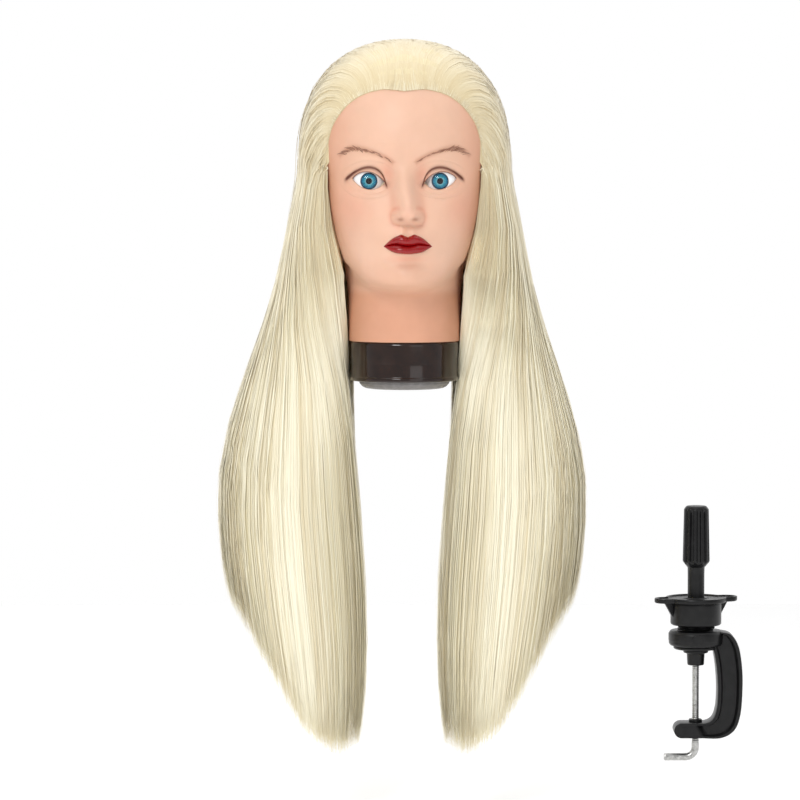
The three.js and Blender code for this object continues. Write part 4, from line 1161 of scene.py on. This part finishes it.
def make_baby_hairs(material):
    """Short fine hairs along the hairline, swept back with a slight wave."""
    for side, label, count in ((1, "left", 420), (-1, "right", 380)):
        a = RNG.uniform(0, 1, count) ** 0.9
        q = RNG.uniform(0.15, 0.7, count)
        knots = hair_knots(a, q)
        steps = np.linspace(0, 1, 9)[None, :] * RNG.uniform(1.0, 2.6, (count, 1))
        full = spline(knots, np.linspace(0, 4, 33))
        place = np.clip(steps / 4 * 32, 0, 31.999)
        i = place.astype(int)
        t = (place - i)[..., None]
        rows = np.arange(count)[:, None]
        centres = full[rows, i] * (1 - t) + full[rows, i + 1] * t
        outward = hair_outward(centres, 1)
        centres = centres + outward * (0.15 + 0.5 * RNG.uniform(0, 1, (count, 1, 1)))
        ripple = np.sin(np.linspace(0, 9, 9)[None, :] + RNG.uniform(0, 6, (count, 1))) * 0.35
        centres[..., 2] += ripple * smooth(np.linspace(0, 1, 9) / 0.4)[None, :]
        centres = sided(centres, side)
        taper = 1 - 0.8 * np.linspace(0, 1, 9)[None, :]
        radii = RNG.uniform(0.10, 0.2, (count, 1)) * taper
        outward = hair_outward(centres, side)
        piece = tubes(f"{label}_baby_hairs", centres, radii, outward, material, "head", "hair")
        set_attribute(piece, "shade", np.repeat(RNG.uniform(0.2, 0.8, count), 9 * 3))


def make_hair(looks):
    for side, label in ((1, "left"), (-1, "right")):
        body = make_hair_body(side, label, looks["hair_mass"])
        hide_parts(f"{label}_front_hair", f"{label}_back_hair")
        for piece in make_strands(side, label, looks["hair"]):
            if piece.name == "left_strands_1":
                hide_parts("crown_hair")
    make_baby_hairs(looks["hair"])


# ------------------------------------------------------------------ collar and base
def rounded(points, radius=0.6, count=4):
    """A (radius, height) outline with each inner corner rounded by a short arc of quadratic points."""
    points = np.asarray(points, dtype=float)
    out = [points[0]]
    for before, here, after in zip(points[:-2], points[1:-1], points[2:]):
        d0, d1 = before - here, after - here
        l0, l1 = np.linalg.norm(d0), np.linalg.norm(d1)
        r = min(radius, l0 * 0.45, l1 * 0.45)
        start, end = here + d0 / l0 * r, here + d1 / l1 * r
        t = np.linspace(0, 1, count)[:, None]
        out.extend((1 - t) ** 2 * start + 2 * t * (1 - t) * here + t ** 2 * end)
    out.append(points[-1])
    return np.array(out)


def turned_ring(outline, columns, radius=0.6):
    """A closed outline off the axis, rounded at its corners and carried round."""
    outline = np.asarray(outline, dtype=float)
    middle = (outline[0] + outline[-1]) / 2
    loop = rounded(np.vstack([middle, outline, middle]), radius)[:-1]
    return closed_loop(turned_profile(loop, columns, (0, 0, 0), "z"))


def turned_body(outline, columns, radius):
    """An outline that starts and ends on the axis, rounded at its corners and carried round."""
    outline = rounded(outline, radius)
    outline[:, 0] = np.maximum(outline[:, 0], 0.02)
    return closed_tube(turned_profile(outline, columns, (0, 0, 0), "z"))


def make_neck_parts(looks):
    """The collar with its bead and step, and the domed base with the socket's mouth in its middle."""
    low, high = COLLAR_LOW, COLLAR_HIGH
    r = (high[0] - low[0]) / 2
    ledge = SKIN_BOTTOM - 0.3
    points, faces = turned_ring([
        [r - 6.9, low[2]], [r - 1.7, low[2]], [r - 0.7, low[2] + 0.9], [r - 0.7, low[2] + 3.1],
        [r - 1.5, low[2] + 3.9], [r - 1.3, low[2] + 14], [r - 0.2, ledge - 2], [r - 1.0, ledge],
        [r - 4.3, ledge], [r - 4.3, high[2]], [r - 7, high[2]], [r - 7, ledge - 4],
        [r - 6.5, low[2] + 6],
    ], 128)
    collar = link_mesh("gloss_collar", points, faces, looks["collar"], "head", "collar", 40)
    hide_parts("neck_collar")
    plate_low, plate_high = node_box("base_plate")
    plate_r = (plate_high[0] - plate_low[0]) / 2
    tube_r = (node_box("socket_tube")[1][0] - node_box("socket_tube")[0][0]) / 2
    points, faces = turned_ring([
        [tube_r + 0.5, 0], [plate_r - 8, 0], [plate_r - 4.5, 0.5], [plate_r - 2.2, 1.8], [plate_r, 4.4],
        [plate_r, 9], [tube_r + 0.5, 9],
    ], 96)
    plate = link_mesh("domed_base", points, faces, looks["grey"], "head", "grey_plastic", 40)
    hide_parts("base_plate")


# ------------------------------------------------------------------ clamp
POST_LOW, POST_HIGH = node_box("spigot_post")
CLAMP_AXIS = np.array([(POST_LOW[0] + POST_HIGH[0]) / 2, (POST_LOW[1] + POST_HIGH[1]) / 2,
                       node_box("clamp_screw")[0][2]])
ROD_R = (node_box("clamp_screw")[1][1] - node_box("clamp_screw")[0][1]) / 2
ARM_WIDTH = 20.0
THREAD_PITCH = 1.5
WING_TURN = math.radians(18)

# Heights in this section count from the lowest point of the bent screw.
ARM_INNER = [(12, 99), (13.4, 92), (15.6, 80), (16.9, 66), (17.1, 54), (16.2, 43), (13.4, 35),
             (7.5, 31.6), (-2, 31.5), (-11.5, 31.5)]
ARM_OUTER = [(19, 105.2), (28, 102.5), (33.8, 93), (36.6, 76), (37, 58), (35.4, 38), (30.5, 25.5),
             (20, 19.4), (4, 19.2), (-11.5, 19.2)]


def round_grid(radius, heights, angle):
    """Rings about the axis: radius is ring x point, and there is one height per ring."""
    heights = np.asarray(heights, dtype=float)[:, None] + 0 * radius
    return np.stack([radius * np.cos(angle), radius * np.sin(angle), heights], axis=-1)


def rings_of(rows, angle):
    """A closed ring-shaped body from rows of (radius, height), each radius a number or one per point."""
    return closed_loop(round_grid(np.stack([r + 0 * angle for r, _ in rows]), [z for _, z in rows], angle))


def make_arm():
    """The C-shaped arm: a section carried from boss to lower jaw between an inner and an outer line.
    Each flank is sunk to leave a flange along both lines, and the jaw's end is rounded."""
    steps = np.linspace(0, 1, 90)
    knots = np.linspace(0, 1, len(ARM_INNER))
    inner = np.stack([through(knots, [p[k] for p in ARM_INNER], steps) for k in (0, 1)], axis=-1)
    outer = np.stack([through(knots, [p[k] for p in ARM_OUTER], steps) for k in (0, 1)], axis=-1)
    middle, half = (inner + outer) / 2, (outer - inner) / 2
    cap = np.sin(np.linspace(0, 1, 9)[1:] * math.pi / 2)
    reach = np.linalg.norm(half[-1])
    ends = middle[-1] + np.stack([-cap * reach, 0 * cap], axis=-1)
    shrink = np.sqrt(np.clip(1 - cap ** 2, 0.0025, 1))
    middle = np.concatenate([middle, ends])
    half = np.concatenate([half, half[-1] * shrink[:, None]])
    walk = np.concatenate([steps, np.full(len(cap), 1.0)])
    half_across = np.array([0.3, 0.56, 0.66, 0.72, 0.9, 0.97, 1])
    half_corner = np.array([1, 1, 0.98, 1, 1, 0.975, 0.90])
    half_sunk = np.array([1, 1, 0.2, 0, 0, 0, 0])
    across = np.concatenate([-half_across[::-1], [0], half_across])
    corner = np.concatenate([half_corner[::-1], [1], half_corner])
    sunk = np.concatenate([half_sunk[::-1], [1], half_sunk])
    channel = smooth(walk / 0.07) * (1 - smooth((walk - 0.83) / 0.06))
    flank = ARM_WIDTH / 2 * corner[None, :] - 5.2 * sunk[None, :] * channel[:, None]
    e = np.concatenate([across, across[::-1]])
    y = np.concatenate([flank, -flank[:, ::-1]], axis=1)
    grid = np.stack([
        middle[:, :1] + half[:, :1] * e,
        y,
        middle[:, 1:] + half[:, 1:] * e,
    ], axis=-1)
    return closed_tube(grid)


def capsule_radius(angle, reach, half_width):
    """Distance from the middle to the edge of a bar with round ends, in each direction."""
    c, s = np.abs(np.cos(angle)), np.abs(np.sin(angle))
    side = half_width / np.maximum(s, 1e-6)
    end = reach * c + np.sqrt(np.clip(half_width ** 2 - (reach * s) ** 2, 0, None))
    return np.where(side * c < reach, side, end)


def make_wing_disc():
    """The nut's winged flange, with a raised rim: rings of one outline, a circle joined smoothly to a
    long bar with round ends."""
    angle = np.linspace(0, 2 * math.pi, 180, endpoint=False)
    bar = capsule_radius(angle, 26.5, 8.6)
    circle = np.full_like(bar, 24.4)
    blend = 2.0
    h = np.clip(0.5 + (bar - circle) / (2 * blend), 0, 1)
    edge = mix(circle, bar, h) + blend * h * (1 - h)
    low, high = 128.4, 132.2
    hole = 7.2
    rim = ((0.9, low), (0.2, low + 0.4), (0.0, low + 1.2), (0.0, high - 0.4), (0.3, high), (1.9, high),
           (2.6, high - 1.1))
    floor = ((0.5, high - 1.1), (0.16, high - 1.0), (0.10, high - 0.2), (0.0, high - 0.2), (0.0, low))
    rows = [(edge - inset, z) for inset, z in rim]
    rows += [(mix(hole, edge - 2.6, share), z) for share, z in floor]
    return rings_of(rows, angle)


def spun(points, turn):
    """Points turned about the upright axis."""
    x, y, z = points[..., 0], points[..., 1], points[..., 2]
    c, s = math.cos(turn), math.sin(turn)
    return np.stack([x * c - y * s, x * s + y * c, z], axis=-1)


def make_gusset(turn):
    """A thin triangular rib under one wing."""
    outline = np.array([[19, 114], [19, 129], [27.5, 129], [26.6, 127.4]])
    flanks = (-1.3, -1.2, 1.2, 1.3)
    grid = np.stack([np.stack([outline[:, 0], np.full(4, y), outline[:, 1]], axis=-1) for y in flanks])
    grid[[0, 3]] = mix(grid[[0, 3]], grid[[0, 3]].mean(axis=1, keepdims=True), 0.03)
    return closed_tube(spun(grid, turn))


def threaded(r, angle, z, pitch, depth):
    """A radius cut by a right-hand screw thread: a rounded saw of the turn that each point has made."""
    phase = (z / pitch - angle / (2 * math.pi)) % 1
    return r - depth * (1 - np.abs(2 * phase - 1) ** 1.3)


def make_rod():
    """The bent screw: a circle carried along a straight, a quarter bend and the handle's arm, with a
    thread cut along the straight."""
    bend, reach = 8.0, 26.0
    straight = np.arange(84.6, ROD_R + bend, -THREAD_PITCH / 7)
    turn = np.linspace(0, math.pi / 2, 22)[1:]
    arm = np.linspace(bend, reach - 0.8, 30)[1:]
    x = np.concatenate([0 * straight, -bend + bend * np.cos(turn), -arm])
    z = np.concatenate([straight, ROD_R + bend - bend * np.sin(turn), 0 * arm + ROD_R])
    slope = np.concatenate([0 * straight, turn, 0 * arm + math.pi / 2])
    angle = np.linspace(0, 2 * math.pi, 28, endpoint=False)
    cut = np.concatenate([np.ones_like(straight), 0 * turn, 0 * arm])
    cut *= smooth((np.concatenate([straight, 0 * turn, 0 * arm]) - 14) / 3)
    r = threaded(ROD_R + 0 * z[:, None], angle[None, :], z[:, None], THREAD_PITCH, 0.5)
    r = mix(ROD_R - 0.02, r, cut[:, None])
    tail = np.clip((np.arange(len(x)) - (len(x) - 4)) / 4, 0, 1)
    r *= np.sqrt(1 - 0.4 * tail ** 2)[:, None]
    u, w = r * np.cos(angle), r * np.sin(angle)
    across, down = u * np.cos(slope)[:, None], u * np.sin(slope)[:, None]
    return closed_tube(np.stack([x[:, None] + across, w, z[:, None] - down], axis=-1))


def make_fluted_post():
    """The post: a plain stem, then a tapered tip whose flutes fade out at both ends."""
    outline = rounded([[0.02, 94.8], [6.7, 94.8], [6.7, 156], [9.6, 159.4], [10.8, 161], [9.9, 203.0],
                       [7.9, 205.6], [0.02, 205.6]], 0.7, 5)
    z = np.concatenate([[94.8], np.linspace(95.2, 156, 12), np.linspace(156.5, 205.4, 70), [205.6]])
    lengths = np.maximum.accumulate(outline[:, 1] + np.arange(len(outline)) * 1e-6)
    r = np.interp(z, lengths, outline[:, 0])
    r[[0, -1]] = [6.2, 7.2]
    angle = np.linspace(0, 2 * math.pi, 144, endpoint=False)
    rib = np.clip(0.5 + 1.6 * np.cos(11 * angle), 0, 1)
    fade = smooth((z - 158.5) / 4) * (1 - smooth((z - 199.5) / 5))
    depth = 1.7 * fade[:, None] * (1 - rib[None, :])
    return closed_tube(round_grid(r[:, None] - depth, z, angle))


def make_collet():
    """The slit sleeve's thread, a radius cut by a coarse screw line, open through the middle."""
    z = np.linspace(106.1, 124.6, 64)
    angle = np.linspace(0, 2 * math.pi, 96, endpoint=False)
    outer = threaded(15.4 + 0 * z[:, None], angle[None, :], z[:, None], 3.0, 1.3)
    outer[0], outer[-1] = 14.0, 13.2
    neck = [(10.7, 101.0), (10.7, 105.9)]
    bore = [(7.1, 124.9), (7.1, 101.0)]
    return rings_of([*neck, *zip(outer, z), *bore], angle)


def make_hex(across_corners, low, high, hole):
    """A six-sided nut with a round hole, its corners a little rounded."""
    angle = np.linspace(0, 2 * math.pi, 72, endpoint=False)
    sector = (angle + math.pi / 6) % (math.pi / 3) - math.pi / 6
    flat = across_corners * math.cos(math.pi / 6) / np.cos(sector)
    edge = np.minimum(flat, across_corners * 0.965)
    rows = [(edge - 0.5, low), (edge, low + 0.5), (edge, high - 0.6), (edge - 0.7, high), (hole, high),
            (hole, low)]
    return rings_of(rows, angle)


def make_clamp(looks):
    """Every clamp piece in its place on its own body. A finish is a material, its slot and the angle
    past which an edge stays crisp. The wing nut stands a little turned."""
    boss = turned_ring([
        [7.0, 93.4], [20.4, 93.4], [21.6, 95.2], [21.7, 97.2], [21.9, 97.8], [21.9, 103.2], [20.2, 105.5],
        [11.0, 105.5], [11.0, 100.6], [7.0, 100.4],
    ], 112, 0.7)
    cup = turned_ring([
        [15.9, 110.0], [19.4, 110.0], [20.4, 111.2], [20.4, 126.4], [19.9, 128.8], [15.9, 128.8],
    ], 112)
    points, faces = joined([make_wing_disc(), cup, make_gusset(0.0), make_gusset(math.pi)])
    wings = spun(points, WING_TURN), faces
    pad = turned_body([
        [0.02, 90.4], [16.9, 90.4], [17.9, 91.2], [17.9, 92.6], [17.2, 93.0], [0.02, 93.0],
    ], 96, 0.4)
    foot = turned_body([
        [0.02, 77.4], [6.2, 77.4], [6.7, 78.0], [7.2, 86.8], [9.4, 87.3], [10.0, 88.0], [10.0, 89.2],
        [9.6, 89.7], [0.02, 89.7],
    ], 72, 0.5)
    lug = make_hex(6.0, 27.4, 33.8, ROD_R + 0.3)
    black, steel = (looks["black"], "black_plastic", 38), (looks["steel"], "steel", 60)
    for name, parts, finish, body, node in (
        ("c_frame", [make_arm(), boss], black, "clamp", "clamp_frame"),
        ("winged_nut", [wings], black, "wing_nut", "wing_nut"),
        ("collet_thread", [make_collet()], black, "clamp", "collet_sleeve"),
        ("fluted_post", [make_fluted_post()], black, "post", "spigot_post"),
        ("round_jaw_pad", [pad], black, "clamp", "jaw_pad"),
        ("swivel_foot", [foot], black, "foot", "pressure_foot"),
        ("bent_screw", [make_rod()], steel, "screw", "clamp_screw"),
        ("jaw_lug", [lug], black, "clamp", "jaw_nut"),
    ):
        material, slot, sharp = finish
        points, faces = joined(parts)
        piece = link_mesh(name, points + CLAMP_AXIS, faces, material, body, slot, sharp)
        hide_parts(node)


# ------------------------------------------------------------------ everything
def dress_nodes(materials):
    """The CAD pieces that stay in view get their own finish."""
    for node, material in materials.items():
        mesh = bpy.data.objects[node].data
        mesh.materials.clear()
        mesh.materials.append(material)


def main():
    make_camera()
    make_studio()
    looks = {
        "vinyl": make_vinyl(),
        "lips": make_lip_paint(),
        "eye_white": make_painted("eye_white_gloss", 0.12, Coat_Weight=0.6, Coat_Roughness=0.04),
        "iris": make_painted("printed_iris", 0.35),
        "clear": make_clear(),
        "brow": make_hair_fibre("brow_fibre", srgb(128, 84, 64), srgb(176, 126, 100)),
        "hair": make_hair_fibre("blonde_fibre", srgb(214, 192, 144), srgb(255, 249, 224)),
        "hair_mass": make_hair_mass(srgb(214, 194, 146), srgb(246, 234, 198)),
        "collar": make_moulded("gloss_brown", srgb(26, 12, 8), srgb(42, 24, 17), 0.14, 700,
                               Specular_IOR_Level=0.3, Coat_Weight=0.5, Coat_Roughness=0.05),
        "grey": make_moulded("grey_moulding", srgb(118, 115, 114), srgb(138, 135, 134), 0.5),
        "black": make_moulded("black_moulding", srgb(10, 10, 11), srgb(22, 22, 23), 0.33,
                              Specular_IOR_Level=0.3),
        "foam": make_moulded("rigid_foam", srgb(206, 192, 158), srgb(226, 214, 184), 0.9, 300),
        "steel": make_steel(),
    }
    make_skin(looks["vinyl"])
    for side, label in ((1, "left"), (-1, "right")):
        make_lids(side, label, looks["vinyl"])
        make_eye(side, label, looks)
    make_lips(looks["lips"])
    make_brows(looks["brow"])
    make_hair(looks)
    make_neck_parts(looks)
    make_clamp(looks)
    dress_nodes({
        "rigid_core": looks["foam"],
        "screw_carrier": looks["grey"],
        "socket_tube": looks["grey"],
        "collar_plug": looks["black"],
        **{node: looks["steel"] for node in ("base_screw_1", "base_screw_2", "base_screw_3", "post_clip",
                                             "pad_rivet_1", "pad_rivet_2")},
    })


main()
